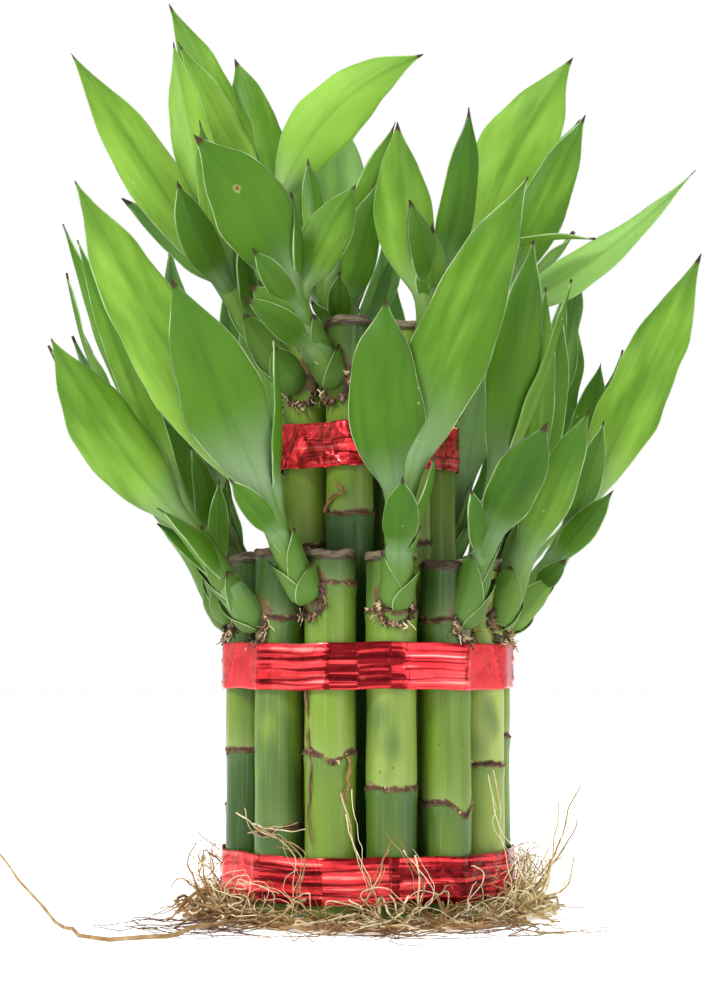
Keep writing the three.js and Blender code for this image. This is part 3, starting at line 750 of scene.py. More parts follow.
print("mm round each ring:", [round(float(taut_path(ring)[2][-1])) for ring in (outer_canes, inner_canes)])

# %% Creases and pleats
NO_LINE = 9.0  # a distance past every line that the finish draws
PLEAT_DEEP, PLEAT_WIDE, PLEAT_WANDER = 0.30, 1.6, 0.35


def crease_field(turns, across, per_degree, creases):
    """How far creases push the foil out, and how far away the nearest one is.

    Each crease has the angle where it crosses the ribbon's middle, its slant, its depth and its width.
    """
    push = np.zeros(across.shape)
    near = np.full(across.shape, NO_LINE)
    for turn, slant, depth, width in creases:
        off = turned(turns[:, None] - turn)
        away = (off * per_degree - slant * across) / math.hypot(1, slant)
        push += depth * np.exp(-np.abs(away) / width)
        near = np.where(np.abs(away) < np.abs(near), away, near)
    return push, near


def add_pleats(push, turns, across, heights, share, seed):
    """Adds lengthwise pleats at their heights across the ribbon, and says how far the nearest one is."""
    near = np.full(across.shape, NO_LINE)
    for height in heights:
        wander = PLEAT_WANDER * np.sin(np.radians(turns * 7 + seed * height))[:, None]
        off = across - height - wander
        ridge = np.clip(1 - np.abs(off + 0.5) / PLEAT_WIDE, 0, 1)
        push = push + share * PLEAT_DEEP * ridge * np.where(off < 0, 1, 0.1)
        near = np.where(np.abs(off) < np.abs(near), off, near)
    return push, np.where(share > 0.5, near, NO_LINE)


def few_folds(count, seed):
    """Slanted creases anywhere round the ribbon, from seeded draws."""
    draw = draws(seed)
    return [(360 * next(draw) - 180, either_way(draw, 3), 0.30 * (next(draw) - 0.4), 0.5 + next(draw))
            for _ in range(count)]


# %% Numbers over a ribbon's faces
def all_round(rule, turns):
    """A rule's value at each angle, as a column. A plain number is the same all round."""
    values = rule(turns) if callable(rule) else np.full(len(turns), rule)
    return values[:, None]


def on_both_faces(field, shape):
    """Numbers over the ribbon, first for its outer face, then for its inner one."""
    field = np.broadcast_to(field, shape)
    return np.concatenate([field[:, ::-1], field], 1).ravel()


# %% Ribbon shell
RIBBON_ROWS = 25
FOIL_THICK = 0.25
PANEL_SLANT = 0.3  # a crease more upright than this ends a panel and its stripes
PANEL_JUMP = 23  # how far the stripes jump from one panel to the next
# How much a rule darkens the painted reflections on a panel.
REFLECTION_DARKENING = -0.15
LAP_SHARE = 0.6  # of the way round its ring, where a ribbon starts and laps for one cane
LAP_PROUD = 0.5
PUSHED_IN, PUSHED_OUT = -0.4, 0.9  # the furthest that creases and pleats together move the foil


def make_ribbon(name, ring, low, creases, pleats, pleated, darker_reflections, crumple, folds, seed):
    """A ribbon round a ring of canes, with its low edge's height, its own creases, pleats and a few folds.

    Three rules over the angle say how much it is pleated, how dark its painted reflections are on each panel
    and how crumpled it is.
    """
    path, outward, spots = taut_path(ring)
    turns = np.degrees(np.arctan2(path[:, 0], -path[:, 1]))
    across = np.linspace(-RIBBON_WIDE / 2, RIBBON_WIDE / 2, RIBBON_ROWS)[None].repeat(len(path), 0)
    per_degree = spots[-1] / 360
    lap_start, lap_long = ring[round(len(ring) * LAP_SHARE)]["angle"], 360 / len(ring)
    lapped = ((turns - lap_start) % 360 < lap_long)[:, None]
    creases = [*creases, *((turned(end), 0, 0, 1) for end in (lap_start, lap_start + lap_long))]
    push, near = crease_field(turns, across, per_degree, creases)
    share, crumpled = all_round(pleated, turns), all_round(crumple, turns)
    push, pleat = add_pleats(push, turns, across, pleats, share, seed)
    folded, _ = crease_field(turns, across, per_degree, few_folds(folds, seed))
    push = push + folded * np.minimum(0.1 + crumpled, 1)
    edge = 0.22 * np.sin(np.radians(turns * 5 + seed)) + 0.10 * np.sin(np.radians(turns * 17))
    height = low + RIBBON_WIDE / 2 + across + edge[:, None]
    push = np.clip(push, PUSHED_IN, PUSHED_OUT) + LAP_PROUD * lapped
    skins = []
    for thick in (FOIL_THICK, 0):
        skin = path[:, None] + outward[:, None] * (push + thick)[..., None]
        skin[..., 2] = height
        skins.append(skin)
    points = np.concatenate([skins[0][:, ::-1], skins[1]], 1)
    faces = grid_faces(len(path), 2 * RIBBON_ROWS, looped=True)
    panel = sum((turns > turn).astype(float) for turn, slant, _, _ in creases if abs(slant) < PANEL_SLANT)
    along = (spots + PANEL_JUMP * panel)[:, None]
    fold = [on_both_faces(field, across.shape) for field in (pleat, near, crumpled)]
    band = [on_both_faces(field, across.shape) for field in (along, across, share)]
    dark = on_both_faces(all_round(darker_reflections, turns) * REFLECTION_DARKENING, across.shape)
    facts = {"fold": np.stack(fold, 1), "band": np.stack(band, 1), "panel": dark}
    return seat(make_piece(name + "_fine", points.reshape(-1, 3), faces, FOIL, facts), "ribbon", name)


# %% [markdown]
# ## What differs along the ribbons
#
# The bottom ribbon is pleated all round, the middle one only where it spans the front and the back, and the
# top one is crumpled more than it is pleated. Each rule gives a number for every angle, and the creases are
# the ones that the photo shows.

# %% Rules along the ribbons
def front_span(turns):
    """1 across the front of the bundle."""
    return ease(turns, -47, -43) * ease(turns, 42, 37)


def both_spans(turns):
    """1 across the front and the back."""
    return front_span(turns) + ease(np.abs(turns), 84, 88)


def everywhere(turns):
    """1 in front, and fainter at the left and at the back."""
    return 0.35 + 0.65 * ease(turns, -50, -44) * ease(np.abs(turns), 150, 120)


def faintly(turns):
    """The same rule, weaker."""
    return 0.6 * everywhere(turns)


def dark_reflection_right(turns):
    """1 on the panels to the right of the middle, where the painted reflections are dark."""
    return ease(turns, 0, 14) * ease(turns, 60, 40)


def dark_reflection_middle(turns):
    """1 on the middle panels, where the painted reflections are dark, and a little below 0 on the one to
    their left, where they are bright.
    """
    return ease(turns, -17, -14) * ease(turns, 15, 12) - 0.35 * ease(turns, -40, -38) * ease(turns, -14, -17)


def crumpled_right(turns):
    """1 and a little more at the right, a quarter elsewhere."""
    return 0.25 + 0.8 * ease(turns, 15, 40) * ease(turns, 90, 70)


def crumpled_spans(turns):
    """Hardly crumpled, and least where nothing is pleated."""
    return 0.06 + 0.12 * both_spans(turns)


print("pleated in front, at the side and at the back:", [float(both_spans(turn)) for turn in (0, 60, 180)])

# %% Three ribbons
BOTTOM_CREASES = [(-62, 0.4, 0.25, 0.7), (-45, 0.1, -0.3, 0.6), (-17, -0.2, 0.25, 0.5), (11, 0.2, -0.25, 0.6),
                  (24, 1.2, 0.4, 0.6), (33, -0.9, 0.4, 0.5), (38, 0.3, -0.35, 0.6), (52, 0.8, 0.35, 0.6),
                  (70, -0.2, 0.3, 0.8)]
MIDDLE_CREASES = [(-45, 0.05, 0.45, 0.6), (-14.7, 0.12, 0.35, 0.5), (-4, -0.15, -0.25, 0.7),
                  (13.6, -0.08, 0.4, 0.5), (39, 0.1, 0.45, 0.6), (60, -0.4, 0.3, 0.7), (-66, 0.5, 0.25, 0.8)]
TOP_CREASES = [(-55, 0.5, 0.4, 0.5), (-38, -0.7, 0.35, 0.5), (-22, 0.5, -0.35, 0.5), (-8, -0.5, 0.45, 0.5),
               (6, 0.9, 0.4, 0.5), (20, -0.6, -0.4, 0.6), (33, 0.4, 0.45, 0.5), (50, -0.5, 0.4, 0.6)]
ribbons = [
    make_ribbon("ribbon_bottom", outer_canes, low=5.6, creases=BOTTOM_CREASES, pleats=(-3.6, -0.4, 2.7),
                pleated=everywhere, darker_reflections=dark_reflection_right, crumple=crumpled_right, folds=16, seed=31),
    make_ribbon("ribbon_middle", outer_canes, low=60, creases=MIDDLE_CREASES, pleats=(-3.3, 2.1),
                pleated=both_spans, darker_reflections=dark_reflection_middle, crumple=crumpled_spans, folds=40, seed=47),
    make_ribbon("ribbon_top", inner_canes, low=118.6, creases=TOP_CREASES, pleats=(-2.6, 1.4),
                pleated=faintly, darker_reflections=0.1, crumple=1.1, folds=16, seed=59),
]
print("ribbons:", [len(piece.data.polygons) for piece in ribbons], "faces")

# %% [markdown]
# ## Where the leaves go
#
# Every leaf is one row: where along its stem it springs, where its tip is, how wide it is and which way its
# back looks. The shoots that show from the front have their own rows. The ones at the back follow a rule, in
# which later leaves are longer, broader and more upright, just as a real shoot grows them.
#
# A row may say more. A leaf can sway to one side, bow outward, fold, and have its own tone, from 0 for deep
# green to 1 for fresh; the tone also paints light, lighter where the light from behind brightens a leaf. Its
# bloom is how pale its foot is and where that ends, its shape is where it is widest and how it tapers, and
# under is how much the paler back shows. A shoot can set the tone of its clasping leaves (clasp), have less
# young green (fresh), and start them from a chosen side (mirror).

# %% Shoots in front
def leaf(at, tip, wide, face, **more):
    """One leaf's row. It springs at a share of its stem's length."""
    usual = {"sway": 0, "bow": 2, "fold": 12, "tone": None}
    return {"at": at, "tip": tip, "wide": wide, "face": face, **usual, **more}


OUTER_SHOOTS = [
    dict(foot=(-35.5, -11, 78), up=(-9, 4, 25), leaves=[
        leaf(0.45, (-39, -24, 115), 6, 0),
        leaf(0.6, (-38.5, -3, 116), 6, 0),
        leaf(0.8, (-47, -20, 124), 8, 40, bow=4),
        leaf(0.95, (-58, -8, 139), 14, 10),
        leaf(0.9, (-70, 6, 148), 14, -75),
    ]),
    dict(foot=(-28, -25, 76), up=(-18, -3, 26), clasp=0.22, fresh=0.3, mirror=1, leaves=[
        leaf(0.3, (-54, -40, 106), 7, 60, sway=2),
        leaf(0.35, (-55, -27, 103), 7, 60),
        leaf(0.92, (-81.5, -40, 150), 18, 5, sway=-2.5, fold=24, bow=4, tone=0.70),
        leaf(1, (-82, -14, 185), 12, -50),
        leaf(0.95, (-77, -22, 179), 9, -20),
    ]),
    dict(foot=(-14.8, -35, 82.5), up=(-9.7, -5, 22.5), leaves=[
        leaf(0.9, (-75, -46, 190), 20, 8, sway=-1.5, fold=8, tone=0.76),
        leaf(0.97, (-49, -60, 162), 21, 0, fold=6, tone=0.40, bloom=(1.1, 0.50)),
        leaf(1, (-24, -50, 148.5), 8, 75),
        leaf(0.7, (-35, -50, 113), 7, 0),
    ]),
    dict(foot=(6.9, -37.5, 80.5), up=(1.6, -6, 28.5), leaves=[
        leaf(0.85, (4.4, -54, 158), 19.5, 0, sway=-2, bow=3, tone=0.34),
        leaf(0.92, (40, -58, 188), 20, 0, sway=-2.5, fold=8, tone=0.58, bloom=(0.8, 0.44)),
        leaf(0.45, (8.5, -55, 113), 9.5, 0, fold=20),
        leaf(0.5, (17, -48, 119), 7, 70),
    ]),
    dict(foot=(24.5, -28.5, 76), up=(8, -5, 34), clasp=0.24, fresh=0.3, mirror=-1, leaves=[
        leaf(0.95, (42.5, -42, 175), 13.5, 15, tone=0.4),
        leaf(0.6, (45, -52, 127), 13.5, 5, tone=0.3),
        leaf(0.5, (26, -45, 111), 6, 20),
        leaf(1, (53, -36, 166), 9, 70),
    ]),
    dict(foot=(34.5, -15.5, 76), up=(8.5, -2, 32), clasp=0.6, leaves=[
        leaf(0.45, (57, -38, 132), 12, 10, tone=0.62),
        leaf(0.8, (54, -24, 114), 9, 10),
        leaf(0.97, (52, -20, 158), 11, 20),
        leaf(0.95, (54, -5, 170), 10, 40),
        leaf(0.9, (47, -28, 165.5), 9, 10),
    ]),
    dict(foot=(37.5, 2.5, 76), up=(19, 1, 28), clasp=0.8, leaves=[
        leaf(0.93, (91, -8, 178), 17, 0, sway=0.5, tone=0.74),
        leaf(1, (66, 14, 151), 13, 10),
        leaf(0.85, (63, -19, 131), 9, 15),
        leaf(0.6, (66, -13, 113), 8, 0),
        leaf(0.4, (54, -7, 95), 6, 0),
        leaf(0.8, (79, 21, 141), 14, 105),
    ]),
]

# %% Shoots of the inner ring and the middle
INNER_SHOOTS = [
    dict(foot=(-18, -12, 140), up=(-19, -2, 27), clasp=0.62, leaves=[
        leaf(0.9, (-79, -24, 229), 15, 5, fold=18, tone=0.78),
        leaf(0.95, (-50, -31, 193), 10.5, 5, sway=-1.5),
        leaf(1, (-45, -20, 212), 9, 10),
        leaf(0.97, (-54, 2, 240), 12, 5, sway=-1),
        leaf(0.85, (-36, -13, 182), 7, -20),
        leaf(0.6, (-34.5, -26, 178), 7, 30),
    ]),
    dict(foot=(-8, -21, 140), up=(-11, -6, 22), leaves=[
        leaf(0.95, (-45, -40, 203), 20, 0, sway=3, tone=0.44),
        leaf(1, (-20, -31, 190), 7, 70),
        leaf(0.97, (-3, -18, 195), 13, 0, sway=-1),
        leaf(0.8, (-30, -38, 174), 7, 0),
        leaf(0.6, (-31, -34, 165), 9, 0),
        leaf(0.4, (-32, -40, 161), 8, 10),
    ]),
    dict(foot=(12.5, -18.5, 139), up=(5, -4, 24), leaves=[
        leaf(0.85, (8, -30, 209), 15.5, 0, sway=-2.5, fold=28),
        leaf(0.95, (27, -26, 214), 10.5, 20, sway=2.5, fold=36, tone=0.3),
        leaf(0.7, (17, -30, 182), 8, 10),
        leaf(0.6, (23.5, -29, 171), 6, 50),
        leaf(0.97, (11, -36, 187), 8, 20),
        leaf(1, (61, -20, 180), 9, 90, bow=-6),
    ]),
    dict(foot=(22.5, -1, 139), up=(13, -1, 26), leaves=[
        leaf(0.92, (60, -6, 217), 13.5, 5),
        leaf(0.85, (87, -26, 197), 11, 0, sway=3.5, fold=34, tone=1, under=2.4, shape=(0.36, 1.15)),
        leaf(0.95, (60, 22, 190), 14, 110),
    ]),
    dict(foot=(14.5, 17, 140), up=(14, 1, 30), leaves=[
        leaf(0.92, (58.5, 10, 238), 23, 0, sway=-4, fold=8, tone=0.78),
        leaf(1, (38, 22, 207), 9, 20),
        leaf(0.85, (62, 26, 224), 12, 20),
    ]),
    None,
    dict(foot=(-19.5, 11, 140), up=(-7, 3, 53), leaves=[
        leaf(0.94, (-53.5, 13, 243), 11, 10),
        leaf(1, (-57, 24, 257), 13, 0),
        leaf(0.86, (-38, 22, 241), 15, 0, sway=1.5),
        leaf(0.97, (16, 4, 237), 18, 0, sway=-8, tone=0.95),
        leaf(0.5, (-69, 10, 197), 12, 215),
    ]),
]

CENTRE_SHOOT = dict(foot=(-5, 0, 152), up=(-7, -3, 19), leaves=[
    leaf(1, (-16.5, 8, 208), 7, 0),
    leaf(0.9, (8, -6, 215), 9, 30),
    leaf(0.35, (3, -8, 198), 11, 0),
    leaf(0.3, (-7.5, -14, 172), 7, 0),
])

# %% Shoots by rule
BACK_FAN = (-40, 34, -18, 20, 0)  # which way each leaf of a shoot at the back turns, lowest leaf first
FOOT_DOWN = 18  # from a cane's top down to its shoot
OUTER_LEAN, INNER_LEAN = 13, 10  # how far out a stem's top is from its foot
INNER_REACH = 0.72  # leaves of the inner shoots at the back, against those of the outer ones
BACK_SEED = 617


def ruled_shoot(cane, lean, reach, seed):
    """A shoot for a cane at the back. Its leaves fan out to both sides."""
    draw = draws(seed)
    foot = around(cane["angle"], cane["wide"] / 2 - 2, cane["top"] - FOOT_DOWN) + cane["foot"]
    up = around(cane["angle"], lean, 28 + 6 * next(draw))
    leaves = []
    for k, turn in enumerate(BACK_FAN):
        heads = cane["angle"] + turn + either_way(draw, 10)
        rise = math.radians((40 + 7 * k if k else 33) + 8 * next(draw))
        long = (40 + 11 * k + 12 * next(draw)) * reach
        tip = around(heads, long * math.cos(rise), long * math.sin(rise)) + foot + up
        wide = 9 + 2 * k + 2 * next(draw)
        leaves.append(leaf(0.5 + 0.12 * k, tip, wide, heads, bow=3 * (1 + next(draw))))
    return dict(foot=foot, up=up, leaves=leaves)


def shoots_of(kind, ring, seen, lean, reach):
    """A shoot for each cane of a ring: its own where it can be seen, and one by rule where it can't."""
    made = []
    for i, cane in enumerate(ring):
        own = seen[i] if i < len(seen) else None
        shoot = own or ruled_shoot(cane, lean, reach, BACK_SEED * (i + 1))
        made.append({**shoot, "node": f"shoot_{kind}_{i + 1:02d}", "cane": cane})
    return made


outer_shoots = shoots_of("outer", outer_canes, OUTER_SHOOTS, OUTER_LEAN, 1)
inner_shoots = shoots_of("inner", inner_canes, INNER_SHOOTS, INNER_LEAN, INNER_REACH)
shoots = [*outer_shoots, *inner_shoots, {**CENTRE_SHOOT, "node": "shoot_centre", "cane": centre_cane}]
print("shoots:", len(shoots), "leaves:", sum(len(shoot["leaves"]) for shoot in shoots))

# %% [markdown]
# ## Canes
#
# A cane could be turned as a plain lathe shape, but the real ones aren't quite round: they swell under each
# ring, the ring itself wanders up and down, and the cut top has shrunk to a dried lid with a sunken middle.
# So each one is a grid of points round an axis, with more rows where something happens.

# %% Ring scars
DIP_WIDE = 24  # in degrees


def scar_line(cane, index, turns):
    """How high a ring scar is at each angle: tilted, uneven, and dipped where the photo shows it."""
    draw = draws(cane["seed"] * 7 + index)
    lean, phase, ripple = 0.5 * next(draw), 360 * next(draw), 360 * next(draw)
    a = np.radians(turns)
    height = lean * np.cos(a - math.radians(phase)) + 0.22 * np.sin(3 * a + math.radians(ripple))
    if "dip" in cane and index == 0:
        turn, depth = cane["dip"]
        height = height - depth * bump_at(turned(turns - cane["angle"] - turn), 0, DIP_WIDE)
    return cane["scars"][index] + height


heights = scar_line(outer_canes[1], 0, np.arange(0, 360, 5))
print("a ring that dips, lowest and highest in mm:", heights.min().round(1), heights.max().round(1))

# %% Rows and radii of a cane
CANE_TURNS = 44
ROW_STEP, SCAR_STEP, CAP_ROWS = 2.6, 0.5, 12
CAP_HIGH = 2.7
CLEAR_OF_SCAR = 20.0  # a distance at which nothing of a ring shows
# Painted shade: the shoots above shade the short canes from the middle ribbon up.
SHADED_IF_LOWER = 110  # canes lower than this are a deeper green from the middle ribbon up
SHADE_RISES = (64, 78)
# What a ring adds to the radius: how much, how far above the ring's line, and over what height. It has a
# ridge, and the cane is fuller just under it and waisted over it.
RING_SHAPE = [(0.42, -0.15, 0.42), (0.26, -1.6, 1.5), (-0.16, 0.75, 0.5)]


def cane_heights(cane):
    """Rows up the cane, close together at the ring scars and at the cap."""
    under_cap = cane["top"] - CAP_HIGH - 1
    rows = list(np.arange(0, under_cap, ROW_STEP))
    for z in cane["scars"]:
        rows += list(np.arange(z - 4.4, z + 3.0, SCAR_STEP))
    rows += list(np.linspace(under_cap, cane["top"], CAP_ROWS))
    return np.unique(np.round([z for z in rows if z >= 0], 2))


def cane_skin(cane):
    """Angles, heights and radii over the cane's skin, with what its finish reads near the rings."""
    turn_of = np.arange(CANE_TURNS) * 360 / CANE_TURNS
    z, turn = np.meshgrid(cane_heights(cane), turn_of, indexing="ij")
    a = np.radians(turn)
    draw = draws(cane["seed"])
    r = cane["wide"] / 2 - 0.03 + 0.09 * np.cos(2 * (a - 6 * next(draw)))
    r = r - 0.16 * np.sin(z / 11 + 6 * next(draw)) ** 2
    scar, below, above = np.full(z.shape, CLEAR_OF_SCAR), np.zeros(z.shape), np.zeros(z.shape)
    tone_of = cane.get("tones") or [0.32 + 0.24 * next(draw) for _ in range(len(cane["scars"]) + 1)]
    tone = np.full(z.shape, tone_of[0])
    for index in range(len(cane["scars"])):
        off = z - scar_line(cane, index, turn)
        for much, above_line, high in RING_SHAPE:
            r = r + much * bump_at(off, above_line, high)
        scar = np.minimum(scar, np.abs(off))
        below = np.maximum(below, np.where(off < 0, np.exp(off / 4.5), 0))
        above = np.maximum(above, np.where(off > 0, np.exp(-off / 3.5), 0))
        tone = np.where(off > 0, tone_of[index + 1], tone)
    # Painted shade on the short canes, under their shoots.
    tone = tone - 0.20 * ease(z, *SHADE_RISES) * (cane["top"] < SHADED_IF_LOWER)
    return a, z, r, (scar, below, above, tone)


print("rows of points up one cane:", len(cane_heights(outer_canes[0])))

# %% Whole canes
CAP_PROUD, CAP_SUNK = 0.34, 0.7
LID_STEPS = ((0.86, 0.05), (0.74, CAP_SUNK), (0.4, CAP_SUNK + 0.1))  # share of the rim, and how far down
FAR_FROM_TOP = 60
shoot_feet = {shoot["cane"]["node"]: np.array(shoot["foot"]) for shoot in shoots}


def make_cane(cane):
    """A closed cane: its skin, the dried lid with its sunken middle, and its flat foot."""
    a, z, r, (scar, below, above, tone) = cane_skin(cane)
    from_top = cane["top"] - z
    lid = ease(from_top, CAP_HIGH + 0.15, CAP_HIGH - 0.25)
    r = r + lid * CAP_PROUD * (1 + 0.5 * np.sin(5 * a + cane["seed"])) - 0.6 * ease(from_top, 0.7, 0) ** 2
    x, y = r * np.sin(a), -r * np.cos(a)
    tilt = ease(from_top, 6, 2.5) * (x * cane["slope"][0] + y * cane["slope"][1])
    waves = 0.35 * np.sin(2 * a + cane["seed"] * 1.7) + 0.2 * np.sin(5 * a + cane["seed"])
    rings = [np.stack([x, y, z + tilt + ease(from_top, 4, 1) * waves], -1)]
    rim = rings[0][-1]
    for share, drop in LID_STEPS:
        rings.append((rim * (share, share, 1) - (0, 0, drop))[None])
    points = np.concatenate(rings).reshape(-1, 3)
    rows, count = len(points) // CANE_TURNS, len(points)
    faces = grid_faces(rows, CANE_TURNS) + end_fans(rows, CANE_TURNS, low=count + 1, top=count)
    points = np.concatenate([points, [[0, 0, points[-CANE_TURNS:, 2].mean()], [0, 0, 0]]]) + cane["foot"]
    foot = shoot_feet[cane["node"]] - cane["foot"]
    off = np.sqrt((x - foot[0]) ** 2 + (y - foot[1]) ** 2 + (z - foot[2] - 3.5) ** 2)
    stain = 0.75 * ease(off, 6.4, 5.2)

    def with_lid(field, value):
        """The skin's own numbers, and one value for all points of the lid and the foot."""
        return np.concatenate([field.ravel(), np.full(len(points) - field.size, value)])

    facts = np.stack([with_lid(scar, CLEAR_OF_SCAR), with_lid(from_top, 0.0), with_lid(tone, 0.4)], 1)
    facts[-1, 1] = FAR_FROM_TOP
    shade = np.stack([with_lid(field, 0.0) for field in (below, above, stain)], 1)
    piece = make_piece(cane["node"] + "_fine", points, faces, CANE, {"cane": facts, "shade": shade})
    return seat(piece, "cane", cane["node"])


cane_pieces = [make_cane(cane) for cane in canes]
print("canes:", len(cane_pieces), "faces in one:", len(cane_pieces[0].data.polygons))

# %% [markdown]
# ## Growing a leaf
#
# A leaf of this plant starts as a sheath wrapped round the stem, opens, and becomes a long blade. One
# cross-section does both: an arc. At the foot it goes nearly all the way round the stem, and along the
# blade it opens until only a shallow trough is left. The arc's middle follows the leaf's spine.
#
# Each point also gets what the finish needs: how far it is from the midrib, the tip and the nearest margin,
# and how young its leaf is.

# %% Stem line and leaf outline
STEM_BEND = 0.12
STEM_RADII = (4.8, 5, 4.2, 3)  # at its foot, a third up, two thirds up and at its top
SHEATH_DOWN = 0.42  # how far down the stem a sheath starts, as a share of the stem
PLY = 0.24  # from one sheath to the next
NECK, BELLY, TAPER = 0.3, 0.45, 2.2  # a blade's width at its foot, where it is widest, how it ends


def unit(v):
    """The same direction, with a length of 1."""
    return v / np.linalg.norm(v, axis=-1, keepdims=True)


def stem_point(shoot, t):
    """A point of the stem's middle line and its direction there."""
    foot, up = np.array(shoot["foot"], float), np.array(shoot["up"], float)
    middle = foot + up / 2 + np.array([up[0], up[1], 0]) * STEM_BEND
    t = np.atleast_1d(t)[:, None]
    point = (1 - t) ** 2 * foot + 2 * t * (1 - t) * middle + t**2 * (foot + up)
    ahead = 2 * (1 - t) * (middle - foot) + 2 * t * (foot + up - middle)
    return point, unit(ahead)


def stem_radius(t, outside):
    """The stem's radius, with a round foot, less one ply for every sheath further out that clasps it."""
    t = np.asarray(t, float)
    foot = np.sqrt(np.clip(1 - ((0.13 - t) / 0.15).clip(0, 1) ** 2, 0.02, 1))
    plies = sum((ease(leaving - t, -0.14, -0.02) for leaving in outside), 0 * t)
    return np.interp(t, (0, 1 / 3, 2 / 3, 1), STEM_RADII) * foot * 0.93 - PLY * plies


def blade_shape(t, belly=BELLY, taper=TAPER):
    """How wide a blade is along its length, as a share of its widest."""
    u = np.clip(t / belly, 0, 1)
    rise = NECK + (1 - NECK) * u * u * (3 - 2 * u)
    fall = 1 - np.clip((t - belly) / (1 - belly), 0, 1) ** taper
    return np.where(t < belly, rise, fall * (1 - 0.38 * ease(t, 0.78, 1)))


print("a blade's width from foot to tip:", [round(float(blade_shape(t)), 2) for t in (0, 0.25, 0.5, 0.75, 1)])

# %% Leaf spine
SHEATH_SHARE = 0.2  # of the rows
OPEN_AT = 0.12  # where along its length a blade leaves its sheath
STEM_LAST_LEAF = 0.97


def sheath_start(each):
    """Where along the stem a leaf's sheath starts."""
    return max(each["at"] - SHEATH_DOWN, 0.02)


def spine_of(shoot, each, rows):
    """The leaf's middle line: up the stem first, then out along the blade. t is 0 to 1 along the blade."""
    base = stem_point(shoot, min(each["at"], STEM_LAST_LEAF))[0][0]
    chord = np.array(each["tip"], float) - base
    ahead = unit(chord)
    side = unit(np.cross(ahead, around(each["face"], 1)))
    back = np.cross(side, ahead)
    t = np.linspace(OPEN_AT, 1, round(rows * (1 - SHEATH_SHARE)))
    t = t + 0.04 * np.sin(np.pi * (t - OPEN_AT) / (1 - OPEN_AT))
    swell, slope = 4 * t * (1 - t), 4 - 8 * t
    bent = back * each["bow"] + side * each["sway"]
    blade = base + chord * t[:, None] + bent * swell[:, None]
    tangent = unit(chord + bent * slope[:, None])
    from_t = sheath_start(each)
    start, start_ahead = (row[0] for row in stem_point(shoot, from_t))
    reach = np.linalg.norm(blade[0] - start)
    u = np.concatenate([[0, 0.025], np.linspace(0.12, 1, rows - len(t) - 2, endpoint=False)])[:, None]
    bends = ((2 * u**3 - 3 * u**2 + 1) * start + (u**3 - 2 * u**2 + u) * start_ahead * reach
             + (3 * u**2 - 2 * u**3) * blade[0] + (u**3 - u**2) * tangent[0] * reach)
    spine = np.concatenate([bends, blade])
    shares = np.concatenate([u[:, 0] * OPEN_AT, t])
    clasped = np.concatenate([from_t + (each["at"] - from_t) * u[:, 0], np.full(len(t), each["at"])])
    return spine, unit(np.gradient(spine, axis=0)), side, shares, clasped


# %% Cross-section of a leaf
WRAP_AT, WRAPS = (0, OPEN_AT, 0.2, 0.3), (330, 230, 130, 80)  # how far round a sheath goes, in degrees


def leaf_arc(t, each, sheath_r):
    """For each row of a leaf, the arc's radius, how far round it goes and how far it lies off the spine."""
    blade_half = np.maximum(each["wide"] * blade_shape(t, *each.get("shape", ())) / 2, 0.10)
    half = blade_half + (sheath_r - blade_half) * (1 - ease(t, OPEN_AT * 0.3, 0.24))
    blade_wrap = 4 * each["fold"] * np.sqrt(np.maximum(np.sin(np.pi * np.clip(t, 0, 1)), 0)) + 6
    wrap = np.interp(t, WRAP_AT, WRAPS)
    wrap = np.radians(wrap + (blade_wrap - wrap) * ease(t, 0.16, 0.38))
    arc = half / np.sin(np.minimum(wrap / 2, math.pi / 2))
    raised = np.minimum(arc, sheath_r) * (1 - ease(t, 0.06, 0.3))
    return arc, wrap, raised


def both_skins(field):
    """Numbers over a leaf's outer face, and the same again for its inner one, point by point."""
    return np.concatenate([field, field[:, ::-1]], 1).reshape(-1, field.shape[-1])


# %% Leaf skin
LEAF_ROWS, LEAF_COLUMNS = 38, 15
RIPPLE = 0.045  # of a blade's width


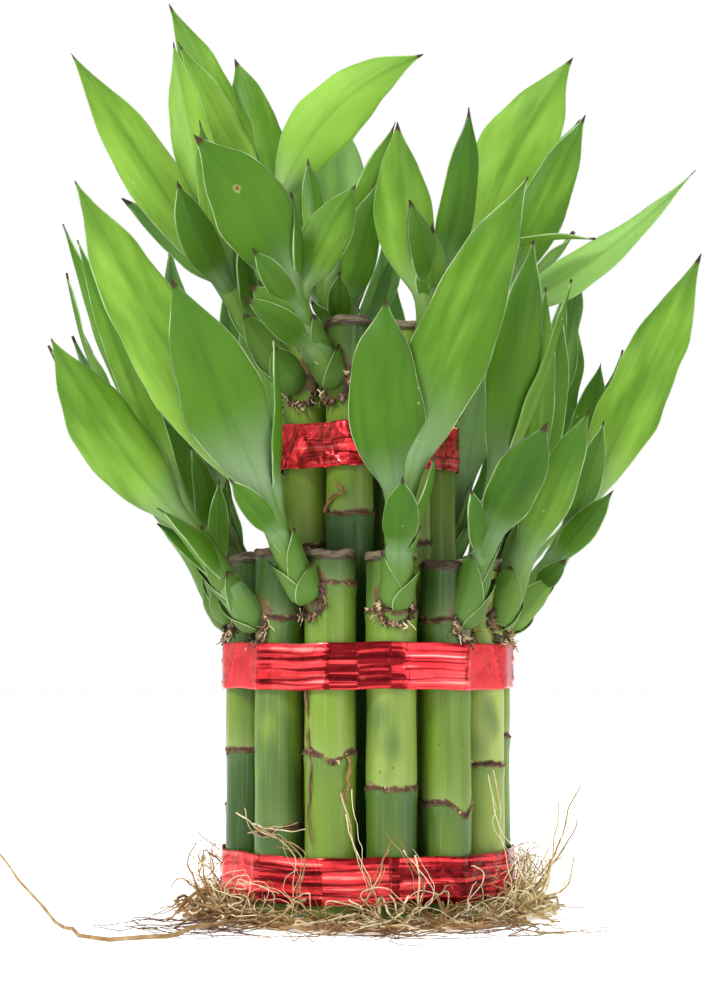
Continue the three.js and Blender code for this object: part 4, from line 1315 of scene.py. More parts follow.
def make_leaf(shoot, each, outside, seed):
    """The points and facts of one leaf: its outer face, then its inner one, row by row."""
    draw = draws(seed)
    spine, tangent, side, t, clasped = spine_of(shoot, each, LEAF_ROWS)
    side = unit(side - tangent * (tangent @ side)[:, None])
    out = np.cross(side, tangent)
    wide = each["wide"]
    sheath_r = stem_radius(clasped, outside) - 0.35 * ease(t, OPEN_AT * 0.2, 0)
    arc, wrap, raised = (row[:, None] for row in leaf_arc(t, each, sheath_r))
    v = np.linspace(-1, 1, LEAF_COLUMNS)
    turn = wrap / 2 * v
    open_share = ease(t, 0.2, 0.5)[:, None]
    belly = np.sin(np.pi * np.clip(t, 0, 1))[:, None]
    length = np.concatenate([[0], np.cumsum(np.linalg.norm(np.diff(spine, axis=0), axis=1))])[:, None]
    swing, phase = 4.2 + 3 * next(draw), 6.28 * next(draw)
    uneven = np.sin(length / swing + phase + 2.4 * np.sign(v)) + 0.5 * np.sin(length / swing * 2.3 + phase)
    x = arc * np.sin(turn) * (1 + RIPPLE * uneven * v**2 * open_share)
    z = arc * (np.cos(turn) - 1) + raised
    ripple = RIPPLE * wide * np.sin(length / (3.0 + 2 * next(draw)) + 2 * phase + 1.3 * np.sign(v))
    z = z + ripple * np.abs(v) ** 3 * open_share * np.sqrt(np.maximum(belly, 0))
    z = z + 0.10 * wide * (next(draw) - 0.5) * v * open_share
    z = z + (0.04 * np.cos(v * math.pi * 5) + 0.16 * np.exp(-((v / 0.12) ** 2))) * open_share
    curl = 0.10 * wide * (next(draw) - 0.6) * ease(t, 0.7, 1)[:, None]
    thick = 0.16 + 0.26 * (1 - np.abs(v)) ** 0.6
    skins = []
    for lift in (thick, -thick):
        up = z + curl + lift / 2
        skins.append(spine[:, None] + side[:, None] * x[..., None] + out[:, None] * up[..., None])
    points = np.concatenate([skins[0], skins[1][:, ::-1]], 1).reshape(-1, 3)
    over = arc * turn
    span = np.stack([over, length[-1] - length + 0 * v, arc * wrap / 2 - np.abs(over)], -1)
    return points, both_skins(span), *leaf_facts(shoot, each, draw, t[:, None], length, 0 * over)


print("points in a leaf:", 2 * LEAF_ROWS * LEAF_COLUMNS)

# %% What a leaf's finish reads
CROWN_LOW, CROWN_DEEP = 95, 150  # where the leaves' tips start, and how much higher they go


def leaf_facts(shoot, each, draw, t, length, flat):
    """A leaf's tone, its bloom and its number, and what tells its back, its foot and its young part."""
    # Partly painted light: a higher tip gives a lighter tone, for the upper leaves that the light from behind
    # brightens.
    level = np.clip((np.array(each["tip"])[2] - CROWN_LOW) / CROWN_DEEP, 0, 1)
    tone = each["tone"] if each["tone"] is not None else 0.40 + 0.34 * level + 0.26 * (next(draw) - 0.5)
    strength, end = each.get("bloom", (0.72, 0.36))
    pale = strength * (1 - ease(t, 0.08, end)) * (1 - 0.65 * ease(t, 0.16, 0.05))
    growth = both_skins(np.stack([tone + flat, pale + flat, next(draw) + flat], -1))
    young = shoot.get("fresh", 1) * ease(t, 0.14, 0.06)
    side = both_skins(np.stack([flat, length + flat, young + flat], -1))
    under = each.get("under", 1)
    faces = [np.full(flat.shape, value) for value in (max(under - 1, 0), under)]
    side[:, 0] = np.concatenate(faces, 1).ravel()
    return growth, side


def leaf_faces(start, rows, half):
    """Faces of one leaf's closed skin."""
    columns = 2 * half
    faces = grid_faces(rows, columns, start)
    last = start + (rows - 1) * columns
    for j in range(half - 1):
        far = columns - 1 - j
        faces.append([start + j + 1, start + j, start + far, start + far - 1])
        faces.append([last + j, last + j + 1, last + far - 1, last + far])
    return faces


# %% [markdown]
# ## Stems
#
# Little of a stem is seen, because its leaves' sheaths wrap it. Still it is there, as a thin tube that ends
# in a point, so no gap between two sheaths ever looks into an empty shoot. It carries the same facts as a
# leaf, with steady values, because it wears the same finish.

# %% A stem's tube
STEM_ROWS, STEM_TURNS = 18, 24
STEM_SPAN = (3.0, 60.0, 4.0)  # far from any midrib, tip or margin
STEM_GROWTH = (0.45, 0.8, 0.5)  # its tone, its bloom and its number
STEM_SIDE = (0.0, 9.0, 0.8)  # no paler back, far from a leaf's foot, and young


def make_stem(shoot, outside):
    """A stem's closed skin, inside all its sheaths."""
    t = np.linspace(0, 1, STEM_ROWS)
    middle, ahead = stem_point(shoot, t)
    side = unit(np.cross(ahead, (0.3, 1, 0.1)))
    other = np.cross(ahead, side)
    a = np.radians(np.arange(STEM_TURNS) * 360 / STEM_TURNS)
    radius = np.maximum(stem_radius(t, outside) - 0.2 - 1.4 * ease(t, 0.9, 1.0), 0.6)
    rings = middle[:, None] + radius[:, None, None] * (
        side[:, None] * np.cos(a)[:, None] + other[:, None] * np.sin(a)[:, None])
    points = np.concatenate([rings.reshape(-1, 3), middle[:1], middle[-1:] + ahead[-1:] * 0.8])
    count = len(points)
    faces = grid_faces(STEM_ROWS, STEM_TURNS) + end_fans(STEM_ROWS, STEM_TURNS, low=count - 2, top=count - 1)
    facts = [np.tile(row, (count, 1)) for row in (STEM_SPAN, STEM_GROWTH, STEM_SIDE)]
    return faces, [points, *facts]


# %% [markdown]
# ## Scale leaves
#
# Below its first real leaf a shoot carries a few small ones that never opened. They could be blades like the
# others, but they never leave the stem: each is a pointed patch of its skin, one ply further out than what it
# clasps. They spring in turn from left and right, so their pale margins cross in front of the stem.

# %% Rows for the scale leaves
# Where each one springs and ends on the stem, which way it turns and how far round it goes, in degrees.
SCALES = [(0.0, 0.36, -80, 216), (0.04, 0.54, 80, 204), (0.17, 0.78, -74, 190), (0.38, 0.98, 74, 172)]


def scale_leaves(shoot, seed):
    """Clasping leaves: where each springs and ends along the stem, how it looks and how far round it goes."""
    draw = draws(seed)
    mirror = shoot.get("mirror", 1 if next(draw) > 0.5 else -1)
    rows = []
    for low, high, turn, wrap in SCALES:
        rows.append(dict(
            low=low,
            high=high + either_way(draw, 0.08),
            wrap=wrap + either_way(draw, 30),
            facing=shoot["cane"]["angle"] + mirror * turn + either_way(draw, 24),
            tone=shoot.get("clasp", 0.42) + either_way(draw, 0.22),
            proud=0.4 + 1.3 * next(draw),
        ))
    return rows


print("scale leaves on a shoot:", len(SCALES))

# %% A scale leaf's skin
SCALE_ROWS, SCALE_COLUMNS = 18, 17


def make_scale_leaf(shoot, each, outside, seed):
    """The points and facts of one clasping leaf, in the same order as a real leaf's."""
    draw = draws(seed)
    u = np.linspace(0, 1, SCALE_ROWS)[:, None]
    v = np.linspace(-1, 1, SCALE_COLUMNS)
    t = each["low"] + (each["high"] - each["low"]) * u[:, 0]
    middle, ahead = stem_point(shoot, t)
    out = around(each["facing"], 1)
    out = unit(out - ahead * (ahead @ out)[:, None])
    side = np.cross(ahead, out)
    half = math.radians(each["wrap"] / 2) * (1 - u**1.7) + 0.04
    half = half * (1 + 0.05 * np.sin(7 * u + 6 * next(draw)))
    turn = half * v
    radius = stem_radius(t, outside)[:, None] + each["proud"] * u**3 - 0.3 * ease(u, 0.05, 0)
    radius = radius + 0.12 * v**4 * ease(u, 0.1, 0.4)
    thick = 0.14 + 0.16 * (1 - np.abs(v)) * (1 - u)
    skins = []
    for lift in (thick, -thick):
        reach = radius + lift / 2
        skins.append(middle[:, None] + out[:, None] * (reach * np.cos(turn))[..., None]
                     + side[:, None] * (reach * np.sin(turn))[..., None])
    points = np.concatenate([skins[0], skins[1][:, ::-1]], 1).reshape(-1, 3)
    long = np.linalg.norm(middle[-1] - middle[0])
    same = np.ones(turn.shape)
    span = np.stack([radius * turn, long * (1 - u) * same, radius * half * (1 - np.abs(v))], -1)
    growth = np.stack([each["tone"] * same, 0.30 * (1 - u) * same, 0.35 * next(draw) * same], -1)
    facts = np.stack([0 * same, 3 + long * u * same, (0.9 - 0.5 * u) * same], -1)
    return points, both_skins(span), both_skins(growth), both_skins(facts)


# %% [markdown]
# ## A whole shoot
#
# A shoot is one piece: the stem, the scale leaves and the real leaves. What springs lowest on the stem clasps
# all that springs above it, so the leaves are sorted by where they start, and each is told which of the
# others lie outside it.

# %% Every shoot
SCALE_SEED, LEAF_SEED, LEAF_SEED_STEP = 500, 1000, 37


def make_shoot(shoot, number):
    """One shoot's stem and leaves, joined in one mesh."""
    entries = [(sheath_start(each), each["at"], make_leaf, each, LEAF_ROWS, LEAF_COLUMNS)
               for each in shoot["leaves"]]
    entries += [(each["low"], each["high"], make_scale_leaf, each, SCALE_ROWS, SCALE_COLUMNS)
                for each in scale_leaves(shoot, SCALE_SEED + number)]
    entries.sort(key=lambda entry: entry[0])
    faces, parts = make_stem(shoot, [entry[1] for entry in entries])
    stacks = [[part] for part in parts]
    total = len(parts[0])
    for order, (_, _, make, each, rows, columns) in enumerate(entries):
        outside = [entry[1] for entry in entries[:order]]
        made = make(shoot, each, outside, LEAF_SEED * (number + 1) + LEAF_SEED_STEP * order)
        faces += leaf_faces(total, rows, columns)
        total += len(made[0])
        for stack, part in zip(stacks, made):
            stack.append(part)
    points, span, growth, side = (np.concatenate(stack) for stack in stacks)
    facts = {"span": span, "growth": growth, "side": side}
    return seat(make_piece(shoot["node"] + "_fine", points, faces, LEAF, facts), "leaf", shoot["node"])


shoot_pieces = [make_shoot(shoot, i) for i, shoot in enumerate(shoots)]
print("shoot faces:", sum(len(piece.data.polygons) for piece in shoot_pieces))

# %% [markdown]
# ## Roots, grown along lines by Geometry Nodes
#
# Roots repeat by the hundred, and each follows a path, so a node tree grows them. Its input is a mesh of bare
# edges, one chain of a few points for each root. The tree turns the chains into smooth curves, shakes them
# more and more toward their ends, keeps them above the floor, and sweeps a small round profile along them.
# The thickness and the tone of each root come from attributes on the chains.

# %% Geometry node helpers
def geo(tree, kind, inputs=None, **settings):
    """A geometry node; the same as add, with a shorter name for its kind."""
    return add(tree, "GeometryNode" + kind, inputs, **settings)


def named(tree, name, kind="FLOAT"):
    """An attribute of the points, by its name."""
    return geo(tree, "InputNamedAttribute", {"Name": name}, data_type=kind).outputs["Attribute"]


def grow(name, points, edges, attributes, tree, inputs, *nodes):
    """Runs a node tree over a bare mesh and keeps the result as a plain piece."""
    host = make_object(name + "_lines", make_mesh(name + "_lines", points, edges, [], attributes))
    modifier = host.modifiers.new("grow", "NODES")
    modifier.node_group = tree
    sockets = {item.name: item.identifier for item in tree.interface.items_tree if item.item_type == "SOCKET"
               and item.in_out == "INPUT"}
    for key, value in inputs.items():
        modifier[sockets[key]] = value
    graph = bpy.context.evaluated_depsgraph_get()
    grown = bpy.data.meshes.new_from_object(host.evaluated_get(graph))
    grown.name = name
    bpy.data.objects.remove(host)
    return seat(make_object(name, grown), "root", *nodes)


# %% Node tree for roots
strands, start, end = group(
    "roots along lines",
    [("Geometry", "Geometry", None), ("Points", "Int", 14), ("Sides", "Int", 4), ("Shake", "Float", 0.003),
     ("Wave", "Float", 90.0), ("Thin end", "Float", 0.45), ("Finish", "Material", None)],
    [("Geometry", "Geometry")],
    "GeometryNodeTree",
)
lines = geo(strands, "MeshToCurve", {0: start["Geometry"]})
lines = geo(strands, "CurveSplineType", {0: lines}, spline_type="CATMULL_ROM")
lines = geo(strands, "ResampleCurve", {"Curve": lines, "Count": start["Points"]})
thick = named(strands, "thick")
number = named(strands, "number")
along = geo(strands, "SplineParameter").outputs["Factor"]

# Every root reads another part of the noise, and holds still where it starts.
apart = join(strands, times(strands, number, 0.037), z=times(strands, number, 0.011))
moved = vector_calc(strands, "ADD", geo(strands, "InputPosition"), apart)
growing = times(strands, remap(strands, along, 0.0, 0.25), start["Shake"])
wobble = shake_of(strands, moved, start["Wave"], growing)
lines = geo(strands, "SetPosition", {"Geometry": lines, "Offset": wobble})

# No root goes through the floor.
x, y, z = split(strands, geo(strands, "InputPosition"))
above = calc(strands, "MAXIMUM", z, calc(strands, "ADD", thick, 0.00005))
lines = geo(strands, "SetPosition", {"Geometry": lines, "Position": join(strands, x, y, above)})

thinning = times(strands, thick, add(strands, "ShaderNodeMapRange", {0: along, 3: 1.0, 4: start["Thin end"]}))
profile = geo(strands, "CurvePrimitiveCircle", {"Resolution": start["Sides"], "Radius": 1.0})
sweep = {"Curve": lines, "Profile Curve": profile, "Scale": thinning, "Fill Caps": True}
swept = geo(strands, "CurveToMesh", sweep)
swept = geo(strands, "SetShadeSmooth", {"Geometry": swept})
swept = geo(strands, "RealizeInstances", {"Geometry": swept})
swept = geo(strands, "SetMaterial", {"Geometry": swept, "Material": start["Finish"]})
feed(strands, end, {"Geometry": swept})
print("tree for roots:", len(strands.nodes), "nodes")

# %% [markdown]
# ## The lines that the roots follow
#
# Three bundles of lines are grown, each with its own seed. Some run round the feet and weave a mat, lower in
# front, where the canes' green ends show. Some leave the mat and lie out on the floor. The finest ones stand
# in a loose tangle, and a few that the photo shows plainly have their own points: one long stray root, those
# that stand up at the sides, those that hang over the bottom foil, and one that climbs between two canes.

# %% Roots that the photo shows one by one
STRAY_ROOT = [(-30, -28, 1.5), (-42, -48, 1), (-50, -66, 0.8), (-62, -70, 0.8), (-72, -56, 1.2),
              (-80, -40, 4), (-90, -28, 11), (-97, -22, 18)]
STANDING_ROOTS = [
    [(40, -9, 1.5), (46, -10, 6), (50, -12, 18), (56, -14, 35)],
    [(38.4, -14.4, 1.5), (46, -18, 8), (49, -20, 20), (50, -22, 31)],
    [(40.8, 4, 1.5), (48, 2, 10), (55, 2, 20), (57, 0, 25)],
    [(35.8, -20, 1.5), (44, -26, 7), (50, -30, 9), (53, -32, 17)],
    [(-37.7, -16, 1.5), (-44, -18, 6), (-47, -20, 14), (-45, -22, 20)],
    [(-39.7, -10, 1.5), (-46, -10, 8), (-50, -12, 10), (-52, -14, 7)],
    [(8.5, -40.2, 1.5), (14, -46, 10), (10, -47, 19), (6, -45, 24)],
    [(-12.3, -39.2, 1.5), (-18, -45, 8), (-16, -47, 17), (-21, -45, 23)],
]
ROOTS_OVER_FOIL = [
    [(-34.3, -23, 28), (-28.8, -29.6, 24.4), (-24.5, -33.2, 22.2), (-20.1, -36.1, 19.4), (-18.3, -37.6, 13.9),
     (-20, -42, 3)],
    [(-6.9, -40.9, 34), (-5.1, -41.2, 27), (-3.1, -41.4, 18.5), (0.5, -41.5, 11), (3.5, -42, 5)],
    [(5.2, -41.4, 20), (3, -41.6, 14.8), (1, -41.8, 9.8), (-3, -43, 4)],
    [(32.6, -25.6, 39), (34.4, -23.4, 31), (34.2, -24, 24), (36, -25, 15), (38, -28, 4)],
    [(11.8, -40.2, 18.4), (13.4, -39.9, 12), (12.6, -40.4, 6), (9, -44, 2)],
    [(-29.6, -29.2, 25.5), (-22.4, -35, 24.3), (-15.7, -38.4, 25)],
]
CLIMBING_ROOT = [(-15.9, -35.2, 60), (-15.6, -35.9, 52), (-15, -36.4, 45), (-14.8, -36.6, 38),
                 (-15.4, -36.2, 30), (-14.5, -37, 21)]
print("roots with points of their own:", 2 + len(STANDING_ROOTS) + len(ROOTS_OVER_FOIL))


# %% Lines for the roots
class Lines:
    """Chains of points, with a thickness, a tone and a number for each point."""

    def __init__(self, seed):
        self.draw = draws(seed)
        self.points, self.edges, self.thick, self.tone, self.number = [], [], [], [], []

    def between(self, low, high):
        """A draw between two numbers."""
        return low + (high - low) * next(self.draw)

    def near(self, point, *spans):
        """A point near another, with the span that each of its coordinates may move in."""
        return np.array(point) + [self.between(*span) for span in spans]

    def chain(self, points, thick, tone):
        """Adds one chain, with its thickness in millimetres and its tone."""
        first = len(self.points)
        number = self.between(0, 100)
        for point in points:
            self.points.append(point)
            self.thick.append(thick * MM)
            self.tone.append(tone)
            self.number.append(number)
        self.edges += [(first + i, first + i + 1) for i in range(len(points) - 1)]

    def grow(self, name, *nodes, shake, wave, points, sides):
        """One piece of roots along all the chains. The shake is in millimetres."""
        attributes = {"thick": self.thick, "tone": self.tone, "number": self.number}
        inputs = {"Shake": shake * MM, "Wave": wave, "Points": points, "Sides": sides, "Finish": ROOT}
        return grow(name, self.points, self.edges, attributes, strands, inputs, *nodes)


def frontness(turn):
    """1 toward the front, 0 at the sides and at the back."""
    return max(math.cos(math.radians(turn)), 0)


# %% Mat of roots round the feet
MAT_ROOTS, MAT_STEPS = 230, 5
MAT_INNER, MAT_OUTER = 40.6, 49
MAT_HIGH, MAT_HIGH_AT, MAT_GONE_AT = 8, 40, 53  # it is highest against the canes and thins out from there
MAT_OPEN = 0.55  # how much lower the mat is in front

mat = Lines(seed=301)
for _ in range(MAT_ROOTS):
    turn, way = mat.between(0, 360), 1 if mat.between(0, 1) > 0.5 else -1
    reach = mat.between(MAT_INNER, MAT_OUTER)
    top = MAT_HIGH * (1 - (reach - MAT_HIGH_AT) / (MAT_GONE_AT - MAT_HIGH_AT))
    top = top * (1 - MAT_OPEN * ease(frontness(turn), 0.5, 0.9))
    chain = []
    for step in range(MAT_STEPS):
        heads = turn + way * step * mat.between(3, 9)
        chain.append(around(heads, reach + mat.between(-2, 4), mat.between(0.4, max(top, 1))))
    mat.chain(chain, mat.between(0.22, 0.55), mat.between(0.18, 1.05))
mat_piece = mat.grow("root_mat_fine", "root_mat", shake=7, wave=140, points=20, sides=5)
print("mat:", len(mat_piece.data.polygons), "faces")

# %% Roots that lie out on the floor
LYING_ROOTS, WHISKERS = 170, 34
LEAVES_MAT = 39.8  # where these roots come out from under the canes
LIE_FROM, LIE_OUT, LIE_FRONT = 44, 15, 20  # the least reach, how much further, and how much more in front
FAR_OUT = 58  # roots that reach further are thinner and older
WHISKER_FROM, WHISKER_FRONT = 44, 82

lying = Lines(seed=302)
for _ in range(LYING_ROOTS):
    turn = lying.between(0, 360)
    further = LIE_OUT + LIE_FRONT * frontness(turn)
    reach = LIE_FROM + lying.between(0, 1) ** 2.4 * further + 3 * lying.between(0, 1)
    bend = lying.between(-32, 32)
    lift = lying.between(1, 7)
    run = reach - LEAVES_MAT
    chain = [around(turn, LEAVES_MAT, lying.between(1, 9)),
             around(turn + bend * 0.2, LEAVES_MAT + run * 0.3, lift),
             around(turn + bend * 0.5, LEAVES_MAT + run * 0.65, lift * 0.5),
             around(turn + bend, reach, 0.4)]
    far = reach > FAR_OUT
    thickness = lying.between(0.20, 0.52) * (0.6 if far else 1)
    lying.chain(chain, thickness, lying.between(0.1, 0.5) if far else lying.between(0.18, 1.05))
for _ in range(WHISKERS):
    turn = lying.between(-62, 62)
    reach = min(lying.between(56, 80), WHISKER_FRONT / math.cos(math.radians(turn)))
    bend = lying.between(-14, 14)
    chain = [around(turn, WHISKER_FROM, 1.5),
             around(turn + bend * 0.4, WHISKER_FROM + (reach - WHISKER_FROM) * 0.4, 0.8),
             around(turn - bend, reach * 0.9, 0.5),
             around(turn + bend, reach, 0.4)]
    lying.chain(chain, lying.between(0.13, 0.24), lying.between(-0.5, 0.1))
lying.chain(STRAY_ROOT, 0.75, 0.62)
lying_piece = lying.grow("roots_lying", shake=6, wave=80, points=22, sides=5)
print("lying roots:", len(lying_piece.data.polygons), "faces")

# %% Fine roots that stand, hang and climb
FINE_ROOTS = 190
EVERY_TO_RIGHT = 6  # one root in so many stands at the right, where the photo shows most of them

fine = Lines(seed=303)
for i in range(FINE_ROOTS):
    turn = fine.between(0, 360)
    if i % EVERY_TO_RIGHT == 0:
        turn = fine.between(55, 100)
    front = frontness(turn)
    far, high = fine.between(41.2, 46 + 4 * front), fine.between(4, 19) * (1 - 0.5 * front)
    arch = fine.between(0.4, 0.9)
    chain = [around(turn, 40.5, fine.between(0.5, 3))]
    for step in range(1, 5):
        turn += fine.between(-12, 12)
        out = far + fine.between(-4, 5)
        chain.append(around(turn, out, max(high * math.sin(arch * step) + fine.between(-2, 3), 0.4)))
    fine.chain(chain, fine.between(0.12, 0.26), fine.between(0.45, 1))
for row in [*STANDING_ROOTS, *ROOTS_OVER_FOIL]:
    thickness, older = (0.36, 0.35) if row in STANDING_ROOTS else (0.25, 0)
    fine.chain(row, thickness, fine.between(0.6, 1) - older)
    for part in (row[1:], row[:-1]):  # two thinner ones beside it
        beside = [fine.near(point, (-3, 3), (-1.6, 0.2), (-2, 2)) for point in part]
        fine.chain(beside, fine.between(0.11, 0.19), fine.between(0.5, 1))
fine.chain(CLIMBING_ROOT, 0.55, 0.22)
fine_piece = fine.grow("roots_fine", shake=4.4, wave=95, points=26, sides=4)
print("fine roots:", len(fine_piece.data.polygons), "faces")

# %% [markdown]
# ## Shreds round the shoots' feet
#
# A shoot breaks out through its cane's skin and leaves torn brown shreds all round its foot. They are short
# strands, so the tree that grows the roots grows them too, from lines set round an oval on the cane. Two
# longer scraps of old roots, which the photo shows on two canes, are grown with them.

# %% Shreds
COLLAR_WIDE, COLLAR_DEEP = 4.9, 4.6
SHREDS, SCRAP_STRANDS = 26, 3
SCRAPS = [
    [(-5, -37.4, 43), (-4.3, -37, 40.5), (-5.6, -37.8, 38), (-4.8, -37.4, 35.5), (-6, -38, 33),
     (-5.2, -38, 31)],
    [(-11.3, -19.6, 106.6), (-10.4, -21.2, 108.8), (-9.1, -22.9, 110.4), (-5.9, -24.6, 111.8),
     (-7.7, -23.9, 113.1), (-8.5, -23.4, 114.7)],
]


def collar_point(shoot, turn, proud):
    """A point round the hole where a shoot broke out, and outward there. Turn 0 is its lowest point."""
    cane = shoot["cane"]
    off = np.array(shoot["foot"]) - cane["foot"]
    facing = math.degrees(math.atan2(off[0], -off[1]))
    a = math.radians(turn)
    swing = math.degrees(COLLAR_WIDE * math.sin(a) / (cane["wide"] / 2))
    direction = around(facing + swing, 1)
    reach = cane["wide"] / 2 + proud
    return cane["foot"] + direction * reach + (0, 0, off[2] + 1 - COLLAR_DEEP * math.cos(a)), direction


shreds = Lines(seed=304)
for shoot in shoots:
    for _ in range(SHREDS):
        turn = shreds.between(-115, 115)
        first, direction = collar_point(shoot, turn, 0.2)
        second = first + direction * shreds.between(0.1, 1.3)
        second = second + (shreds.between(-0.8, 0.8), 0, -shreds.between(0.3, 1.5))
        third = second + direction * shreds.between(-0.6, 0.5)
        third = third + (shreds.between(-1.6, 1.6), 0, -shreds.between(-0.4, 2.2))
        shreds.chain([first, second, third], shreds.between(0.14, 0.32), shreds.between(0, 1) ** 2)
for scrap in SCRAPS:
    for _ in range(SCRAP_STRANDS):
        beside = [np.array(p) + (shreds.between(-0.4, 0.4), 0, shreds.between(-0.5, 0.5)) for p in scrap]
        shreds.chain(beside, shreds.between(0.2, 0.45), shreds.between(0.3, 0.6))
shreds_piece = shreds.grow("dry_shreds", shake=1.6, wave=420, points=10, sides=4)
print("shreds:", len(shreds_piece.data.polygons), "faces")

# %% [markdown]
# ## Dry scales, set out by Geometry Nodes
#
# Where a leaf once grew, a ring of brown papery scraps is left, and the foot of every shoot has a collar of
# them. The tree below bends one small closed plate into a curled flake and sets a turned, scaled copy of
# it on every point it is given. Each point knows which way is outward.

# %% Node tree for flakes
FLAT_PLATE = (1.0, 0.10, 1.0)
NARROWS, CUPS = -0.72, -0.8  # how a plate loses width toward its tip, and how its sides bend back
TEAR_SCALE = 2.3

flakes, start, end = group(
    "dry flakes on points",
    [("Geometry", "Geometry", None), ("Curl", "Float", 0.9), ("Ragged", "Float", 0.5), ("Roll", "Float", 1.2),
     ("Smallest", "Float", 0.5), ("Seed", "Int", 3), ("Finish", "Material", None)],
    [("Geometry", "Geometry")],
    "GeometryNodeTree",
)
plate = geo(flakes, "MeshCube", {"Size": FLAT_PLATE, "Vertices X": 5, "Vertices Y": 2, "Vertices Z": 6})
x, y, z = split(flakes, geo(flakes, "InputPosition"))
high = calc(flakes, "ADD", z, 0.5)
narrow = calc(flakes, "MULTIPLY_ADD", high, NARROWS, 1.0)
curled = calc(flakes, "MULTIPLY_ADD", times(flakes, high, high), start["Curl"], y)
cupped = calc(flakes, "MULTIPLY_ADD", times(flakes, x, x), CUPS, curled)
shaped = join(flakes, times(flakes, x, narrow), cupped, high)
plate = geo(flakes, "SetPosition", {"Geometry": plate.outputs["Mesh"], "Position": shaped})
torn = shake_of(flakes, geo(flakes, "InputPosition"), TEAR_SCALE, start["Ragged"])
plate = geo(flakes, "SetPosition", {"Geometry": plate, "Offset": torn})


def random_in(low, high):
    """A number between two others, different for each flake."""
    inputs = {2: low, 3: high, "Seed": start["Seed"]}
    return add(flakes, "FunctionNodeRandomValue", inputs, data_type="FLOAT").outputs[1]


# Each copy looks outward, hangs as its point says, and is rolled and scaled a little at random.
outward = named(flakes, "outward", "FLOAT_VECTOR")
facing = add(flakes, "FunctionNodeAlignRotationToVector", {"Vector": outward}, axis="Y", pivot_axis="Z")
roll = random_in(times(flakes, start["Roll"], -1.0), start["Roll"])
roll = join(flakes, y=calc(flakes, "ADD", roll, named(flakes, "hang")))
roll = add(flakes, "FunctionNodeEulerToRotation", {0: roll})
both = add(flakes, "FunctionNodeRotateRotation", {0: facing, 1: roll}, rotation_space="LOCAL")
size = times(flakes, named(flakes, "size"), random_in(start["Smallest"], 1.0))
copies = {"Points": start["Geometry"], "Instance": plate, "Rotation": both, "Scale": size}
made = geo(flakes, "InstanceOnPoints", copies)
made = geo(flakes, "RealizeInstances", {"Geometry": made})
made = geo(flakes, "SetShadeSmooth", {"Geometry": made})
made = geo(flakes, "SetMaterial", {"Geometry": made, "Material": start["Finish"]})
feed(flakes, end, {"Geometry": made})
print("tree for flakes:", len(flakes.nodes), "nodes")

# %% [markdown]
# ## Where the flakes are
#
# The flakes sit on the same two lines that the canes and the shreds already follow: the ring scars and the
# oval round each shoot's foot. The rings miss some, because much of the paper has fallen off. The points
# carry their direction, size, tone and hang in attributes, which the tree reads by name.

# %% Flakes on the rings and round the shoots
RING_STEP, RING_SWING, RING_KEPT = 17.0, 14, 0.6
COLLAR_FLAKES, COLLAR_TURN = 54, 230
draw = draws(seed=811)
spots, facts = [], {"outward": [], "size": [], "tone": [], "hang": []}


def flake_at(point, direction, size, hang):
    """Keeps a point for a flake, with what the tree reads there."""
    spots.append(point)
    for key, value in zip(facts, (direction, size * MM, 0.08 + 0.85 * next(draw) ** 1.6, hang)):
        facts[key].append(value)


for cane in [*outer_canes, *inner_canes]:
    for index in range(len(cane["scars"])):
        for turn in np.arange(0, 360, RING_STEP):
            turn = turn + RING_SWING * next(draw)
            lift = float(scar_line(cane, index, np.array(turn)))
            if next(draw) > RING_KEPT:
                continue
            point = around(turn, cane["wide"] / 2 + 0.28, lift - 0.3 + 0.7 * next(draw)) + cane["foot"]
            size = 0.55 + 1.2 * next(draw) ** 2
            flake_at(point, around(turn, 1), size, 0.0 if next(draw) > 0.45 else math.pi)
for shoot in shoots:
    for _ in range(COLLAR_FLAKES):
        turn = either_way(draw, COLLAR_TURN)
        point, direction = collar_point(shoot, turn, 0.3 + 0.5 * next(draw))
        point = point + (0, 0, either_way(draw, 0.8))
        flake_at(point, direction, 1.0 + 1.6 * next(draw) ** 2, math.pi - math.radians(turn))
flake_piece = grow("dry_scales", spots, [], facts, flakes, {"Finish": SCALE, "Curl": 0.45})
print("flakes:", len(spots), "faces:", len(flake_piece.data.polygons))

# %% [markdown]
# ## Floor, light and camera
#
# The photo is a cut-out on white, so the plant stands on a pale floor in a pale room. The floor glows a
# little, so that it stays white under the soft shadow, and the world looks white to the camera but gives less
# light than that. A large lamp at the left is the main light, a second one fills in at the right and a third
# one comes from behind, which brings out the light that the leaves let through. The camera is where the
# perspective of the canes' tops and feet puts the photographer: low, and looking up a little.

# %% Floor
FLOOR_RADIUS, FLOOR_SIDES, FLOOR_DROP = 8000, 96, 0.05  # just under the plant's foot
FLOOR_WHITE, FLOOR_GLOW = (0.90, 0.90, 0.90, 1), 0.42

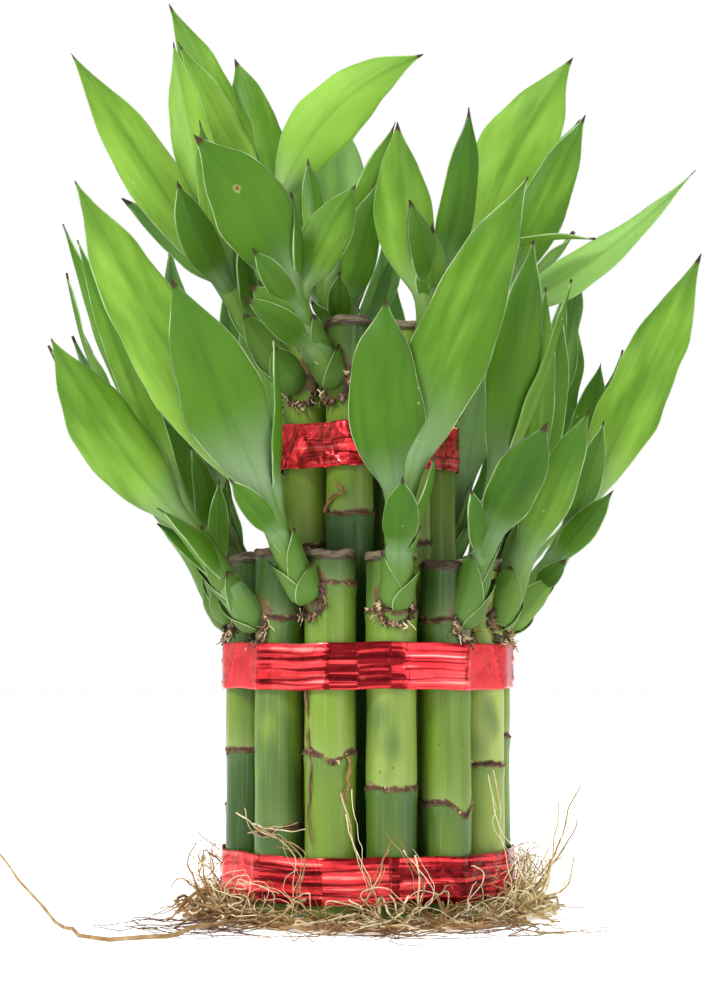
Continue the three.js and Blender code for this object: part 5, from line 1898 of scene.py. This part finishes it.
rim = [around(360 / FLOOR_SIDES * i, FLOOR_RADIUS, -FLOOR_DROP) for i in range(FLOOR_SIDES)]
paper, tree, shader, _ = finish("pale_floor")
feed(tree, shader, {"Base Color": FLOOR_WHITE, "Roughness": 0.9, "Emission Color": (1, 1, 1, 1),
                    "Emission Strength": FLOOR_GLOW})
wedges = [[i, (i + 1) % FLOOR_SIDES, FLOOR_SIDES] for i in range(FLOOR_SIDES)]
floor = make_piece("floor", [*rim, (0, 0, -FLOOR_DROP)], wedges, paper, {}, smooth=False)
print("floor:", len(wedges), "faces")

# %% Light
WORLD_LIGHT, WORLD_SEEN = 0.62, 1.0

world = bpy.data.worlds.new("pale_room")
bpy.context.scene.world = world
world.use_nodes = True
tree = world.node_tree
seen = add(tree, "ShaderNodeLightPath").outputs["Is Camera Ray"]
strength = add(tree, "ShaderNodeMapRange", {0: seen, 3: WORLD_LIGHT, 4: WORLD_SEEN})
feed(tree, tree.nodes["Background"], {"Color": (1, 1, 1, 1), "Strength": strength})


def area_light(name, place, target, size, power):
    """A round soft lamp that looks at a point. Places and sizes are in metres."""
    lamp = bpy.data.lights.new(name, "AREA")
    lamp.shape = "DISK"
    lamp.size = size
    lamp.energy = power
    made = make_object(name, lamp)
    made.location = place
    made.rotation_euler = (Vector(target) - Vector(place)).to_track_quat("-Z", "Y").to_euler()


area_light("key", (-0.9, -1.0, 1.3), target=(0, 0, 0.12), size=0.6, power=31)
area_light("fill", (1.3, -1.2, 0.5), target=(0, 0, 0.12), size=1.2, power=9)
area_light("behind", (0.5, 1.3, 1.2), target=(0, 0, 0.15), size=0.9, power=22)
print("lamps:", [lamp.name for lamp in bpy.data.lights])

# %% Camera
EYE_PLACE, EYE_TURN = (-0.0042, -0.6, 0.065), 94.42  # 90 would be level
EYE_LENS, EYE_SENSOR = 79.13, 36

eye = bpy.data.cameras.new("photo_view")
eye.lens = EYE_LENS
eye.sensor_width = EYE_SENSOR
camera = make_object("photo_view", eye)
camera.location = EYE_PLACE
camera.rotation_euler = (math.radians(EYE_TURN), 0, 0)
bpy.context.scene.camera = camera
bpy.context.scene.view_settings.view_transform = "Standard"
print("camera:", camera.name, "with a lens of", EYE_LENS, "mm")
